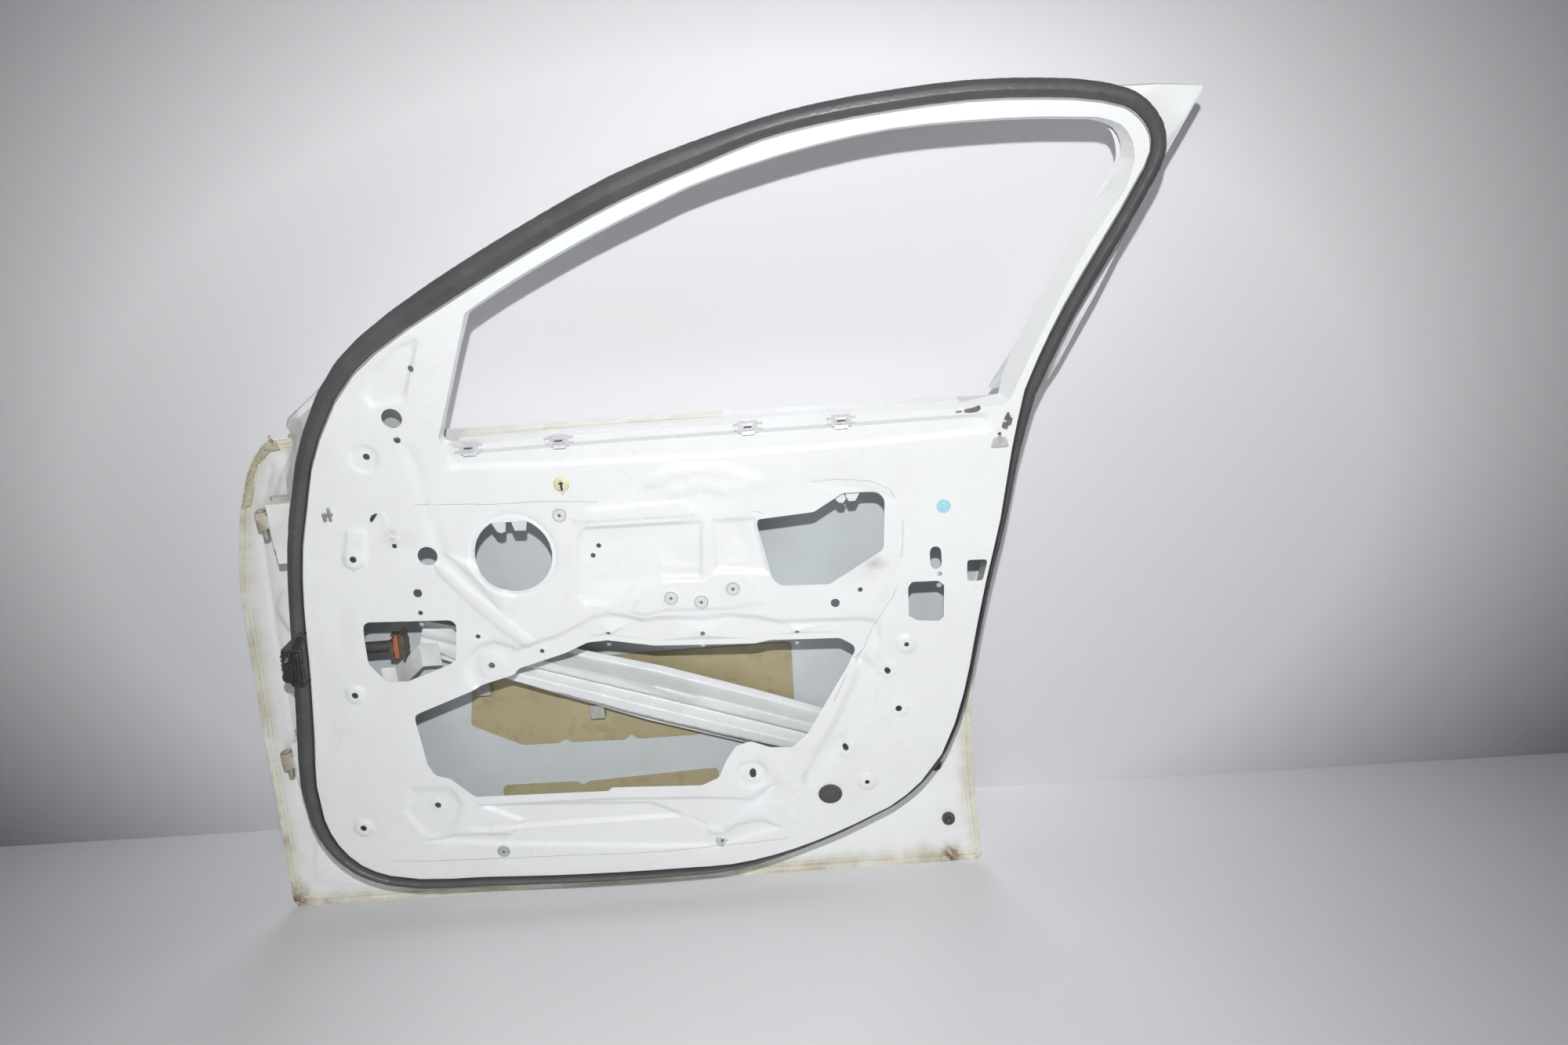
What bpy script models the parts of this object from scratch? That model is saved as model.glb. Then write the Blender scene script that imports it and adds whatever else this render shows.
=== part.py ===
"""Bare front door shell of a passenger car, right-hand side.

X runs along the car towards the rear, Y runs outboard and Z runs up, in metres.
The door is drawn with x = 0 at the foremost point of its hem, z = 0 at its bottom hem and
y = 0 on the land that carries the door trim. One empty then moves all the pieces, so that
the origin ends up on the mounting face of the upper hinge.

Outlines are lists of shares of the door's length and height. In the code an outline is an
array of complex numbers, with the real part along the door and the imaginary part up, and
it runs anticlockwise as the trim side shows it.
"""

import math

import bmesh
import bpy
import numpy as np
from mathutils import Vector
from mathutils.bvhtree import BVHTree
from mathutils.geometry import delaunay_2d_cdt

# Driving dimensions
DOOR_LENGTH = 1.325
DOOR_HEIGHT = 1.09
SKIN_DEPTH = 0.107
PLAN_CROWN = 0.008
LAND_LEAN = 0.088
LEAN_START = 0.60
FRAME_FLANGE_DEPTH = 0.038
FRAME_DEPTH = 0.050
FRAME_CROWN = 0.012
FRAME_CROWN_RUN = 0.012
PANEL_SHEET = 0.0008
SKIN_SHEET = 0.0008
CLEARANCE = 0.0003

# Hem and rim of the panel
HEM_WIDTH = 0.009
HEM_TOP = 0.678
FLANGE_INSET = 0.002
FLANGE_LIFT = 0.006
STEP_RUN = 0.003
LEDGE_WIDTH = 0.020
WALL_RUN = 0.020
LEDGE_DROP = 0.007
SEAL_WIDTH = 0.022
SEAL_HEIGHT = 0.017
CORNER_RADIUS = 0.014

# Window opening
REVEAL_RUN = 0.014
REVEAL_DEPTH = 0.046

# Seal: shares of its width and height around the section
SEAL_SECTION_SHARES = [
    (0.00, 0.00), (0.00, 0.42), (0.12, 0.80), (0.38, 1.00), (0.70, 0.90), (0.95, 0.62),
    (1.00, 0.36), (0.84, 0.00),
]

# Colour, roughness and metallic share of each finish
FINISHES = {
    "paint": ((0.82, 0.84, 0.85), 0.32, 0.0),
    "rubber": ((0.035, 0.036, 0.038), 0.62, 0.0),
    "pad": ((0.52, 0.42, 0.26), 0.55, 0.0),
    "foam": ((0.30, 0.30, 0.28), 0.90, 0.0),
    "steel": ((0.46, 0.45, 0.42), 0.38, 0.9),
    "zinc": ((0.58, 0.59, 0.58), 0.42, 0.7),
    "plastic": ((0.07, 0.07, 0.075), 0.50, 0.0),
    "orange": ((0.85, 0.24, 0.04), 0.45, 0.0),
    "yellow": ((0.80, 0.62, 0.06), 0.45, 0.0),
    "blue": ((0.08, 0.22, 0.55), 0.45, 0.0),
}

# Finish of the facets
FACET_TURN = math.radians(14)
FACET_LENGTH = 0.060
PANEL_GRID = 0.055
SKIN_GRID = 0.050

# Height share and depth share of the outer skin, from the bottom hem to the waist
SKIN_PROFILE_SHARES = [
    (0.000, 0.486), (0.028, 0.561), (0.092, 0.748), (0.275, 0.972), (0.413, 1.000),
    (0.550, 0.888), (0.624, 0.729), (0.651, 0.636), (0.680, 0.540),
]

# Outer edge of the door, in runs that meet at corners
BOTTOM_EDGE_SHARES = [(0.007, 0.000), (0.300, 0.000), (0.600, 0.001), (0.795, 0.003)]
REAR_EDGE_SHARES = [
    (0.795, 0.003), (0.791, 0.098), (0.793, 0.216), (0.801, 0.304), (0.815, 0.385),
    (0.832, 0.477), (0.847, 0.560), (0.856, 0.612), (0.868, 0.642),
]
PILLAR_EDGE_SHARES = [
    (0.868, 0.642), (0.878, 0.657), (0.886, 0.684), (0.902, 0.733), (0.914, 0.760),
    (0.944, 0.839), (0.968, 0.903), (0.986, 0.944), (1.000, 0.977),
]
TOP_EDGE_SHARES = [
    (1.000, 0.977), (0.990, 0.980), (0.929, 0.985), (0.858, 0.992), (0.796, 0.996),
    (0.733, 0.994), (0.669, 0.986), (0.574, 0.963), (0.500, 0.934), (0.413, 0.894),
    (0.321, 0.842), (0.245, 0.791), (0.204, 0.756), (0.174, 0.731),
]
FLAG_EDGE_SHARES = [(0.174, 0.731), (0.143, 0.704), (0.120, 0.681), (0.117, 0.662)]
FRONT_TOP_SHARES = [(0.117, 0.662), (0.091, 0.662)]
FRONT_EDGE_SHARES = [
    (0.091, 0.662), (0.082, 0.654), (0.068, 0.636), (0.056, 0.616), (0.039, 0.573),
    (0.025, 0.522), (0.011, 0.449), (0.005, 0.347), (0.000, 0.234), (0.001, 0.115),
    (0.007, 0.000),
]
BELT_EDGE_SHARES = [
    (0.868, 0.642), (0.811, 0.644), (0.649, 0.648), (0.459, 0.652), (0.299, 0.655),
    (0.117, 0.662),
]

# Edge of the trim land, where the panel steps down to the seal
LAND_OUTLINE_SHARES = [
    (0.143, 0.071), (0.175, 0.063), (0.243, 0.060), (0.328, 0.055), (0.402, 0.053),
    (0.472, 0.053), (0.518, 0.054), (0.565, 0.064), (0.611, 0.081), (0.657, 0.104),
    (0.693, 0.125), (0.728, 0.159), (0.751, 0.196), (0.766, 0.238), (0.776, 0.277),
    (0.789, 0.348), (0.804, 0.430), (0.820, 0.507), (0.833, 0.595), (0.838, 0.625),
    (0.845, 0.664), (0.857, 0.700), (0.880, 0.760), (0.913, 0.831), (0.939, 0.889),
    (0.949, 0.918), (0.947, 0.934), (0.938, 0.950), (0.925, 0.962), (0.906, 0.969),
    (0.858, 0.977), (0.796, 0.981), (0.732, 0.978), (0.668, 0.971), (0.620, 0.961),
    (0.571, 0.943), (0.497, 0.914), (0.409, 0.869), (0.316, 0.815), (0.245, 0.769),
    (0.219, 0.746), (0.195, 0.715), (0.171, 0.672), (0.155, 0.635), (0.141, 0.587),
    (0.128, 0.539), (0.115, 0.457), (0.108, 0.388), (0.094, 0.275), (0.085, 0.209),
    (0.085, 0.163), (0.094, 0.123), (0.114, 0.090),
]

# Share of the way round the land, then shares of the ledge's width, the wall's run,
# the ledge's drop and the seal's width
RIM_SHARES = [
    (0.00, 0.60, 0.90, 1.0, 0.64), (0.13, 0.60, 0.90, 1.0, 0.60),
    (0.17, 0.35, 0.40, 2.0, 0.42), (0.26, 0.26, 0.22, 2.0, 0.40),
    (0.29, 0.21, 0.10, 1.7, 0.45), (0.36, 0.21, 0.10, 1.4, 0.50),
    (0.40, 0.60, 0.20, 1.0, 0.77), (0.47, 0.60, 0.20, 1.0, 0.77),
    (0.51, 0.28, 0.08, 1.0, 0.90), (0.61, 0.25, 0.08, 1.0, 0.98),
    (0.63, 0.40, 0.15, 1.0, 1.20), (0.65, 0.45, 0.15, 1.0, 1.30),
    (0.775, 0.42, 0.15, 1.0, 1.32), (0.79, 0.60, 0.45, 1.0, 1.28),
    (0.80, 0.85, 1.20, 1.0, 1.22), (0.83, 1.00, 1.80, 1.0, 1.18),
    (0.87, 0.90, 1.10, 1.0, 1.00), (0.93, 0.90, 1.00, 1.0, 1.09),
    (0.96, 0.90, 1.00, 1.0, 0.90), (0.99, 0.65, 0.90, 1.0, 0.68),
]

# Crease of the window opening on the trim side, in runs that meet at corners
WINDOW_BOTTOM_SHARES = [(0.281, 0.6525), (0.466, 0.6530), (0.648, 0.6500), (0.829, 0.6480)]
WINDOW_REAR_SHARES = [
    (0.829, 0.648), (0.839, 0.674), (0.863, 0.735), (0.902, 0.828), (0.937, 0.910),
    (0.934, 0.929), (0.924, 0.946), (0.903, 0.956),
]
WINDOW_TOP_SHARES = [
    (0.903, 0.956), (0.859, 0.961), (0.795, 0.964), (0.731, 0.963), (0.667, 0.954),
    (0.601, 0.938), (0.551, 0.922), (0.509, 0.903), (0.466, 0.883), (0.422, 0.860),
    (0.376, 0.834), (0.336, 0.808),
]
WINDOW_FRONT_SHARES = [(0.336, 0.808), (0.281, 0.6525)]

# Share of the way round the window, then shares of the reveal's run and depth
WINDOW_RIM_SHARES = [
    (0.00, 0.14, 0.40), (0.33, 0.14, 0.40), (0.37, 1.00, 1.00), (0.47, 0.85, 1.00),
    (0.53, 0.21, 0.74), (0.89, 0.21, 0.74), (0.93, 0.14, 0.22), (0.99, 0.14, 0.22),
]

# Inner edge of the outer window frame, from its front foot round to its rear foot
FRAME_INNER_SHARES = [
    (0.262, 0.665), (0.322, 0.806), (0.376, 0.836), (0.422, 0.862), (0.466, 0.885),
    (0.509, 0.905), (0.551, 0.924), (0.601, 0.940), (0.667, 0.956), (0.731, 0.965),
    (0.795, 0.966), (0.859, 0.963), (0.903, 0.957), (0.925, 0.938), (0.930, 0.908),
    (0.918, 0.880), (0.881, 0.800), (0.835, 0.692), (0.818, 0.651),
]

# Openings of the trim land
LARGE_OPENING_SHARES = [
    (0.204, 0.304), (0.269, 0.332), (0.281, 0.338), (0.316, 0.349), (0.320, 0.356),
    (0.372, 0.373), (0.396, 0.385), (0.417, 0.386), (0.465, 0.374), (0.566, 0.367),
    (0.583, 0.370), (0.654, 0.366), (0.671, 0.352), (0.662, 0.334), (0.613, 0.240),
    (0.596, 0.221), (0.572, 0.223), (0.552, 0.234), (0.536, 0.228), (0.524, 0.208),
    (0.515, 0.185), (0.496, 0.175), (0.399, 0.181), (0.396, 0.176), (0.252, 0.181),
    (0.229, 0.210), (0.214, 0.216), (0.208, 0.232),
]
FRONT_OPENING_SHARES = [
    (0.171, 0.436), (0.267, 0.430), (0.259, 0.376), (0.250, 0.370), (0.205, 0.352),
    (0.183, 0.353), (0.168, 0.380), (0.169, 0.411),
]
REAR_OPENING_SHARES = [
    (0.582, 0.530), (0.638, 0.534), (0.668, 0.555), (0.701, 0.553), (0.708, 0.543),
    (0.704, 0.480), (0.648, 0.440), (0.599, 0.443), (0.591, 0.453), (0.581, 0.522),
]
LATCH_OPENING_SHARES = [
    (0.726, 0.428), (0.730, 0.435), (0.756, 0.434), (0.762, 0.428), (0.760, 0.386),
    (0.755, 0.381), (0.733, 0.384), (0.725, 0.391),
]
EDGE_NOTCH_SHARES = [(0.786, 0.458), (0.8065, 0.457), (0.8005, 0.430), (0.785, 0.431)]
SLIT_SHARES = [
    (0.2010, 0.5640), (0.2035, 0.5665), (0.2090, 0.5745), (0.2065, 0.5755),
    (0.2020, 0.5725), (0.1995, 0.5670),
]
OPENING_RADIUS = 0.010
SPEAKER_SHARES = (0.336, 0.509)
SPEAKER_RADIUS = 0.0515
LATCH_SLOT_SHARES = (0.755, 0.464)
LATCH_SLOT_WIDTH = 0.015
LATCH_SLOT_HEIGHT = 0.032
SLOT_WIDTH = 0.009
SLOT_HEIGHT = 0.015
SLOT_SHARES = (0.551, 0.187)

# Round holes: place on the door and diameter
LARGE_HOLE = 0.026
MEDIUM_HOLE = 0.012
TRIM_HOLE = 0.009
SMALL_HOLE = 0.0066
HOLE_SHARES = [
    (0.245, 0.692, LARGE_HOLE), (0.250, 0.516, LARGE_HOLE), (0.233, 0.469, MEDIUM_HOLE),
    (0.652, 0.415, MEDIUM_HOLE), (0.274, 0.749, TRIM_HOLE), (0.245, 0.665, TRIM_HOLE),
    (0.211, 0.647, TRIM_HOLE), (0.176, 0.520, TRIM_HOLE), (0.294, 0.364, TRIM_HOLE),
    (0.700, 0.319, TRIM_HOLE), (0.709, 0.266, TRIM_HOLE), (0.651, 0.215, TRIM_HOLE),
    (0.210, 0.172, TRIM_HOLE), (0.126, 0.148, TRIM_HOLE), (0.148, 0.339, TRIM_HOLE),
    (0.721, 0.354, SMALL_HOLE), (0.671, 0.165, SMALL_HOLE), (0.219, 0.532, SMALL_HOLE),
    (0.232, 0.443, SMALL_HOLE), (0.286, 0.406, SMALL_HOLE), (0.421, 0.510, SMALL_HOLE),
    (0.414, 0.498, SMALL_HOLE), (0.419, 0.396, SMALL_HOLE), (0.515, 0.387, SMALL_HOLE),
    (0.611, 0.379, SMALL_HOLE), (0.348, 0.378, SMALL_HOLE), (0.678, 0.430, SMALL_HOLE),
    (0.758, 0.443, SMALL_HOLE),
]

# Pressed forms of the trim land: a depth is outboard, a negative one stands proud
PRESS_DEPTH = 0.004
PRESS_DRAFT = 0.006
BOSS_HEIGHT = 0.0016
BOSS_DRAFT = 0.003
BELT_GROOVE_SHARES = [
    (0.286, 0.623), (0.386, 0.617), (0.546, 0.612), (0.700, 0.612), (0.812, 0.616),
    (0.815, 0.640), (0.648, 0.642), (0.466, 0.645), (0.292, 0.645),
]
CENTRE_PANEL_SHARES = [
    (0.403, 0.538), (0.518, 0.536), (0.516, 0.464), (0.483, 0.466), (0.458, 0.442),
    (0.398, 0.440),
]
REAR_PANEL_SHARES = [(0.541, 0.535), (0.572, 0.534), (0.574, 0.474), (0.540, 0.470)]
RIDGE_SHARES = [
    (0.345, 0.392), (0.384, 0.410), (0.408, 0.422), (0.427, 0.420), (0.451, 0.408),
    (0.480, 0.413), (0.565, 0.409), (0.596, 0.396), (0.658, 0.390), (0.688, 0.392),
    (0.684, 0.374), (0.655, 0.374), (0.582, 0.377), (0.566, 0.374), (0.466, 0.381),
    (0.418, 0.393), (0.395, 0.392), (0.370, 0.380), (0.350, 0.375),
]
DIAGONAL_RIB_SHARES = [
    (0.262, 0.528), (0.275, 0.532), (0.332, 0.452), (0.377, 0.414), (0.360, 0.404),
    (0.318, 0.428),
]
REAR_HOLLOW_SHARES = [
    (0.694, 0.385), (0.706, 0.384), (0.712, 0.345), (0.690, 0.290), (0.660, 0.226),
    (0.636, 0.190), (0.616, 0.186), (0.612, 0.200), (0.640, 0.240), (0.676, 0.320),
]
BOTTOM_HOLLOW_SHARES = [
    (0.235, 0.128), (0.470, 0.128), (0.497, 0.106), (0.512, 0.106), (0.534, 0.126),
    (0.560, 0.144), (0.580, 0.168), (0.572, 0.172), (0.545, 0.152), (0.500, 0.158),
    (0.400, 0.166), (0.250, 0.169),
]
MIRROR_HOLLOW_SHARES = [
    (0.228, 0.705), (0.262, 0.712), (0.292, 0.790), (0.262, 0.776), (0.236, 0.750),
    (0.222, 0.722),
]
SPEAKER_RING = 0.008
BOSSES = [
    (0.176, 0.520, 0.016), (0.148, 0.339, 0.014), (0.126, 0.148, 0.015),
    (0.294, 0.364, 0.022), (0.551, 0.187, 0.017), (0.671, 0.165, 0.013),
    (0.721, 0.354, 0.013), (0.388, 0.555, 0.013), (0.488, 0.439, 0.013),
    (0.518, 0.431, 0.013), (0.551, 0.445, 0.013), (0.210, 0.172, 0.012),
]

# Side impact beam
BEAM_SHEET = 0.0016
BEAM_DEPTH = 0.026
BEAM_BACK = 0.080
BEAM_FRONT_SHARES = (0.206, 0.381)
BEAM_REAR_SHARES = (0.691, 0.170)
BEAM_WIDTH_SHARES = [(0.0, 0.56), (0.15, 0.70), (0.45, 1.0), (0.8, 0.95), (1.0, 0.72)]
BEAM_WIDTH = 0.090
BEAM_STATION_SHARES = [0.0, 0.05, 0.15, 0.30, 0.50, 0.70, 0.85, 0.95, 1.0]
BEAM_END_SHARE = 0.2
BEAM_CREST_SHARES = [(0.05, 0.2), (0.15, 1.0), (0.85, 1.0), (0.95, 0.2)]
BEAM_SECTION_SHARES = [
    (-0.50, 0.00), (-0.38, 0.00), (-0.29, 1.00), (-0.11, 1.00), (-0.02, 0.45), (0.02, 0.45),
    (0.11, 1.00), (0.29, 1.00), (0.38, 0.00), (0.50, 0.00),
]
BRACKET_SHEET = 0.0016
BRACKET_HEIGHT = 0.034
BRACKET_FRONT_HEIGHT = 0.372
BRACKET_REAR_HEIGHT = 0.172
BRACKET_FOOT = 0.020
BRACKET_LAP = 0.024

# Waist rails
BELT_SLOT = 0.012
RAIL_LEDGE = 0.028
RAIL_SHEET = 0.0008
RAIL_FLANGE = 0.018
RAIL_FOOT_SHARES = (4.4, 3.8, 3.2)

# Reinforcements behind the walls
LINER_SHEET = 0.0016
LINER_SHARE_LOW = 0.12
LINER_SHARE_HIGH = 0.84
LATCH_LINER_LOW = 0.36
LATCH_LINER_HIGH = 0.58

# Hinges
HINGE_UPPER_HEIGHT = 0.600
HINGE_UPPER_FRONT = 0.1165
HINGE_LOWER_HEIGHT = 0.246
HINGE_LOWER_FRONT = 0.074
UPPER_KNUCKLE = (0.090, 0.609)
LOWER_KNUCKLE = (0.045, 0.2405)
LEAF_HEIGHT = 0.084
LEAF_LEVEL_SHARES = [
    (-0.50, 1.0), (-0.30, 1.0), (-0.26, 1.0), (-0.22, 0.0), (-0.10, 0.0), (0.10, 0.0),
    (0.22, 0.0), (0.26, 1.0), (0.30, 1.0), (0.50, 1.0),
]
LEAF_STEP = 0.0012
LEAF_REACHES = (-0.008, -0.004, 0.0, 0.004, 0.008)
LEAF_INNER = 0.028
LEAF_FLAT = 0.054
LEAF_OUTER = 0.072
LEAF_SLANT = 0.012
KNUCKLE_DEPTH = 0.070
KNUCKLE_RADIUS = 0.0095
KNUCKLE_HEIGHT = 0.024
HINGE_PIN_RADIUS = 0.0045
PIN_TAIL = 0.016
PIN_HEAD = 0.0025
PIN_HEAD_RADIUS = 0.0065
BOLT_RADIUS = 0.0062
BOLT_HEAD = 0.005
BOLT_SPACING = 0.060

# Damping sheets and blocks on the skin
PAD_THICKNESS = 0.0022
PAD_GAP = 0.0006
MAIN_PAD_SHARES = [
    (0.235, 0.236), (0.244, 0.300), (0.300, 0.322), (0.600, 0.322), (0.598, 0.228),
    (0.486, 0.199), (0.419, 0.199), (0.413, 0.207), (0.406, 0.199), (0.345, 0.201),
    (0.339, 0.207), (0.331, 0.201), (0.290, 0.202),
]
LOWER_PAD_SHARES = [
    (0.260, 0.145), (0.345, 0.143), (0.352, 0.137), (0.359, 0.142), (0.508, 0.149),
    (0.500, 0.105), (0.262, 0.100),
]
FOAM_BLOCK_SHARES = [(0.257, 0.292), (0.380, 0.247)]
FOAM_BLOCK_SIZE = 0.022
FOAM_BLOCK_DEPTH = 0.012

# Wiring stub
HARNESS_HEIGHT = 0.424
HARNESS_DEPTH = 0.034
BOOT_WIDTH = 0.036
BOOT_HEIGHT = 0.056
BOOT_LENGTH = 0.020
SLEEVE_RADIUS = 0.008
SLEEVE_END = 0.246
FLANGE_THICKNESS = 0.006
FLANGE_RADIUS = 0.024
LOCK_WIDTH = 0.012
LOCK_HEIGHT = 0.034
LOCK_THICKNESS = 0.011

# Clips, plugs and buffers
WAIST_CLIP_SHARES = [(0.312, 0.6485), (0.400, 0.6460), (0.582, 0.6450), (0.671, 0.6450)]
WAIST_CLIP_WIDTH = 0.028
WAIST_CLIP_HEIGHT = 0.013
WAIST_CLIP_SHEET = 0.0012
WAIST_CLIP_TOP = 0.0018
RIVET_NUT_SHARES = [
    (0.388, 0.555), (0.488, 0.439), (0.518, 0.431), (0.551, 0.445), (0.272, 0.097),
    (0.510, 0.089),
]
RIVET_NUT_RADIUS = 0.0078
RIVET_NUT_BORE = 0.0024
RIVET_NUT_HEIGHT = 0.0016
GROMMET_SHARES = (0.395, 0.594)
GROMMET_RADIUS = 0.0113
BLUE_PLUG_SHARES = (0.765, 0.529)
BLUE_PLUG_RADIUS = 0.0082
OVAL_PLUG_SHARES = (0.631, 0.150)
OVAL_PLUG_WIDTH = 0.033
OVAL_PLUG_HEIGHT = 0.029
PLUG_HEIGHT = 0.003
BUMP_STOP_SHARES = [(0.7483, 0.1367), (0.7593, 0.0606)]
BUMP_STOP_RADIUS = 0.0098
BUMP_STOP_HEIGHT = 0.009
TRIM_CLIP_FRONT_SHARES = (0.160, 0.579)
TRIM_CLIP_REAR_SHARES = (0.821, 0.607)
TRIM_CLIP_PILLAR_SHARES = (0.829, 0.629)
TRIM_CLIP_WIDTH = 0.013
TRIM_CLIP_HEIGHT = 0.018
TRIM_CLIP_DEPTH = 0.005
FOAM_STRIP_THICKNESS = 0.003
FOAM_STRIP_LOW = 0.600


def length_of(chain):
    """Distances along a chain of points, starting at zero."""
    return np.concatenate([[0.0], np.cumsum(np.abs(np.diff(chain)))])


def at(shares):
    """The place on the door that a pair of shares gives."""
    return complex(shares[0] * DOOR_LENGTH, shares[1] * DOOR_HEIGHT)


def places(share_list):
    return [at(shares) for shares in share_list]


def smooth_run(points, closed=False):
    """A smooth curve through the points, with more facets where it bends."""
    count = len(points)
    run = []
    for i in range(count if closed else count - 1):
        around = [points[(i + k) % count] if closed else points[min(max(i + k, 0), count - 1)]
                  for k in (-1, 0, 1, 2)]
        before, start, end, after = around
        chord = abs(end - start)
        slope_in = slope_at(before, start, end) * chord
        slope_out = slope_at(start, end, after) * chord
        turn = abs(np.angle(slope_out / slope_in))
        steps = max(1, math.ceil(turn / FACET_TURN), math.ceil(chord / FACET_LENGTH))
        for step in range(steps):
            t = step / steps
            run.append(start * (1 + 2 * t) * (1 - t) ** 2 + slope_in * t * (1 - t) ** 2
                       + end * (3 - 2 * t) * t ** 2 + slope_out * (t - 1) * t ** 2)
    if not closed:
        run.append(points[-1])
    return run


def slope_at(before, here, after):
    """Direction of a smooth curve at a point, weighted by the chords beside it."""
    chord_in = abs(here - before)
    chord_out = abs(after - here)
    if chord_in == 0:
        return (after - here) / chord_out
    if chord_out == 0:
        return (here - before) / chord_in
    return ((here - before) / chord_in * chord_out
            + (after - here) / chord_out * chord_in) / (chord_in + chord_out)


def rounded(loop, radius):
    """The closed loop with its sharp corners rounded off."""
    sharp = math.radians(24)
    result = []
    for i, corner in enumerate(loop):
        before = loop[i - 1]
        after = loop[(i + 1) % len(loop)]
        turn = abs(np.angle((after - corner) / (corner - before)))
        if turn < sharp:
            result.append(corner)
            continue
        reach = min(radius * math.tan(turn / 2), 0.42 * abs(corner - before),
                    0.42 * abs(after - corner))
        start = corner + (before - corner) / abs(before - corner) * reach
        side = math.copysign(1.0, np.angle((after - corner) / (corner - before)))
        spoke = side * 1j * (corner - before) / abs(corner - before)
        center = start + spoke * reach / math.tan(turn / 2)
        steps = max(2, math.ceil(turn / (2 * FACET_TURN)))
        for step in range(steps + 1):
            result.append(center + (start - center) * np.exp(side * 1j * turn * step / steps))
    return np.array(result)


def joined(runs):
    """One closed loop from runs that meet end to end."""
    loop = []
    for run in runs:
        loop.extend(smooth_run(places(run))[:-1])
    return loop


def polygon(share_list, radius):
    return rounded(places(share_list), radius)


def circle(center, radius, facets):
    return np.array([center + radius * np.exp(2j * math.pi * i / facets) for i in range(facets)])


def oblong(center, width, height, facets=5):
    """An upright slot with round ends."""
    radius = width / 2
    rise = height / 2 - radius
    top = [center + 1j * rise + radius * np.exp(1j * math.pi * i / facets)
           for i in range(facets + 1)]
    bottom = [center - 1j * rise - radius * np.exp(1j * math.pi * i / facets)
              for i in range(facets + 1)]
    return np.array(top + bottom)


def offset(loop, distance):
    """The closed loop moved outwards by a distance, or inwards by a negative one."""
    forward = np.roll(loop, -1) - loop
    forward = forward / np.abs(forward)
    normal_after = -1j * forward
    normal_before = np.roll(normal_after, 1)
    middle = normal_after + normal_before
    middle = middle / np.abs(middle)
    stretch = np.maximum(np.real(middle * np.conj(normal_after)), 0.5)
    return loop + middle * distance / stretch


def inside(loop, points):
    """Which points lie inside the closed loop."""
    points = np.asarray(points)
    result = np.zeros(points.shape, dtype=bool)
    for start, end in zip(loop, np.roll(loop, -1)):
        spans = (start.imag > points.imag) != (end.imag > points.imag)
        rise = end.imag - start.imag if end.imag != start.imag else 1.0
        cross = start.real + (points.imag - start.imag) * (end.real - start.real) / rise
        result ^= spans & (points.real < cross)
    return result


def edge_distance(loop, points, closed=True):
    """Distance of each point to the nearest edge of the loop."""
    points = np.asarray(points)
    nearest = np.full(points.shape, np.inf)
    ends = np.roll(loop, -1) if closed else loop[1:]
    for start, end in zip(loop, ends):
        edge = end - start
        share = np.real((points - start) * np.conj(edge)) / max(abs(edge) ** 2, 1e-12)
        foot = start + np.clip(share, 0, 1) * edge
        nearest = np.minimum(nearest, np.abs(points - foot))
    return nearest


def blend(share):
    share = np.clip(share, 0, 1)
    return share * share * (3 - 2 * share)


SKIN_PROFILE = np.array(smooth_run([complex(height * DOOR_HEIGHT, depth * SKIN_DEPTH)
                                    for height, depth in SKIN_PROFILE_SHARES]))
OUTER_LOOP = rounded(joined([
    BOTTOM_EDGE_SHARES, REAR_EDGE_SHARES, PILLAR_EDGE_SHARES, TOP_EDGE_SHARES,
    FLAG_EDGE_SHARES, FRONT_TOP_SHARES, FRONT_EDGE_SHARES]), CORNER_RADIUS)
SKIN_LOOP = rounded(joined([
    BOTTOM_EDGE_SHARES, REAR_EDGE_SHARES, BELT_EDGE_SHARES, FRONT_TOP_SHARES,
    FRONT_EDGE_SHARES]), CORNER_RADIUS)
LAND_LOOP = np.array(smooth_run(places(LAND_OUTLINE_SHARES), closed=True))
WINDOW_LOOP = rounded(joined([
    WINDOW_BOTTOM_SHARES, WINDOW_REAR_SHARES, WINDOW_TOP_SHARES, WINDOW_FRONT_SHARES]),
    OPENING_RADIUS)


def skin_depth(points):
    """Depth of the outer skin's outer face."""
    points = np.asarray(points)
    depth = np.interp(points.imag, SKIN_PROFILE.real, SKIN_PROFILE.imag)
    across = 2 * points.real / DOOR_LENGTH - 0.8
    return depth + PLAN_CROWN * (1 - np.clip(across, -1, 1) ** 2)


def land_depth(points):
    """Depth of the trim land, which leans inboard above the waist."""
    height = np.clip(np.asarray(points).imag - LEAN_START, 0, None)
    return -LAND_LEAN * (height / (DOOR_HEIGHT - LEAN_START)) ** 1.5


def flange_depth(points):
    """Depth of the panel's outer flange: along the skin below the waist, then the frame."""
    points = np.asarray(points)
    on_skin = skin_depth(points) - SKIN_SHEET - CLEARANCE - PANEL_SHEET
    on_frame = land_depth(points) + FRAME_FLANGE_DEPTH
    waist = at(FRONT_TOP_SHARES[0]).imag
    share = blend((points.imag - waist) / FRAME_DEPTH)
    return on_skin * (1 - share) + on_frame * share


def rim_values(loop, rows):
    """Values of a rim table at each point of the loop."""
    steps = length_of(np.append(loop, loop[0]))
    share = steps[:-1] / steps[-1]
    table = np.array(rows)
    return [np.interp(share, table[:, 0], table[:, k], period=1.0)
            for k in range(1, table.shape[1])]


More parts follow.
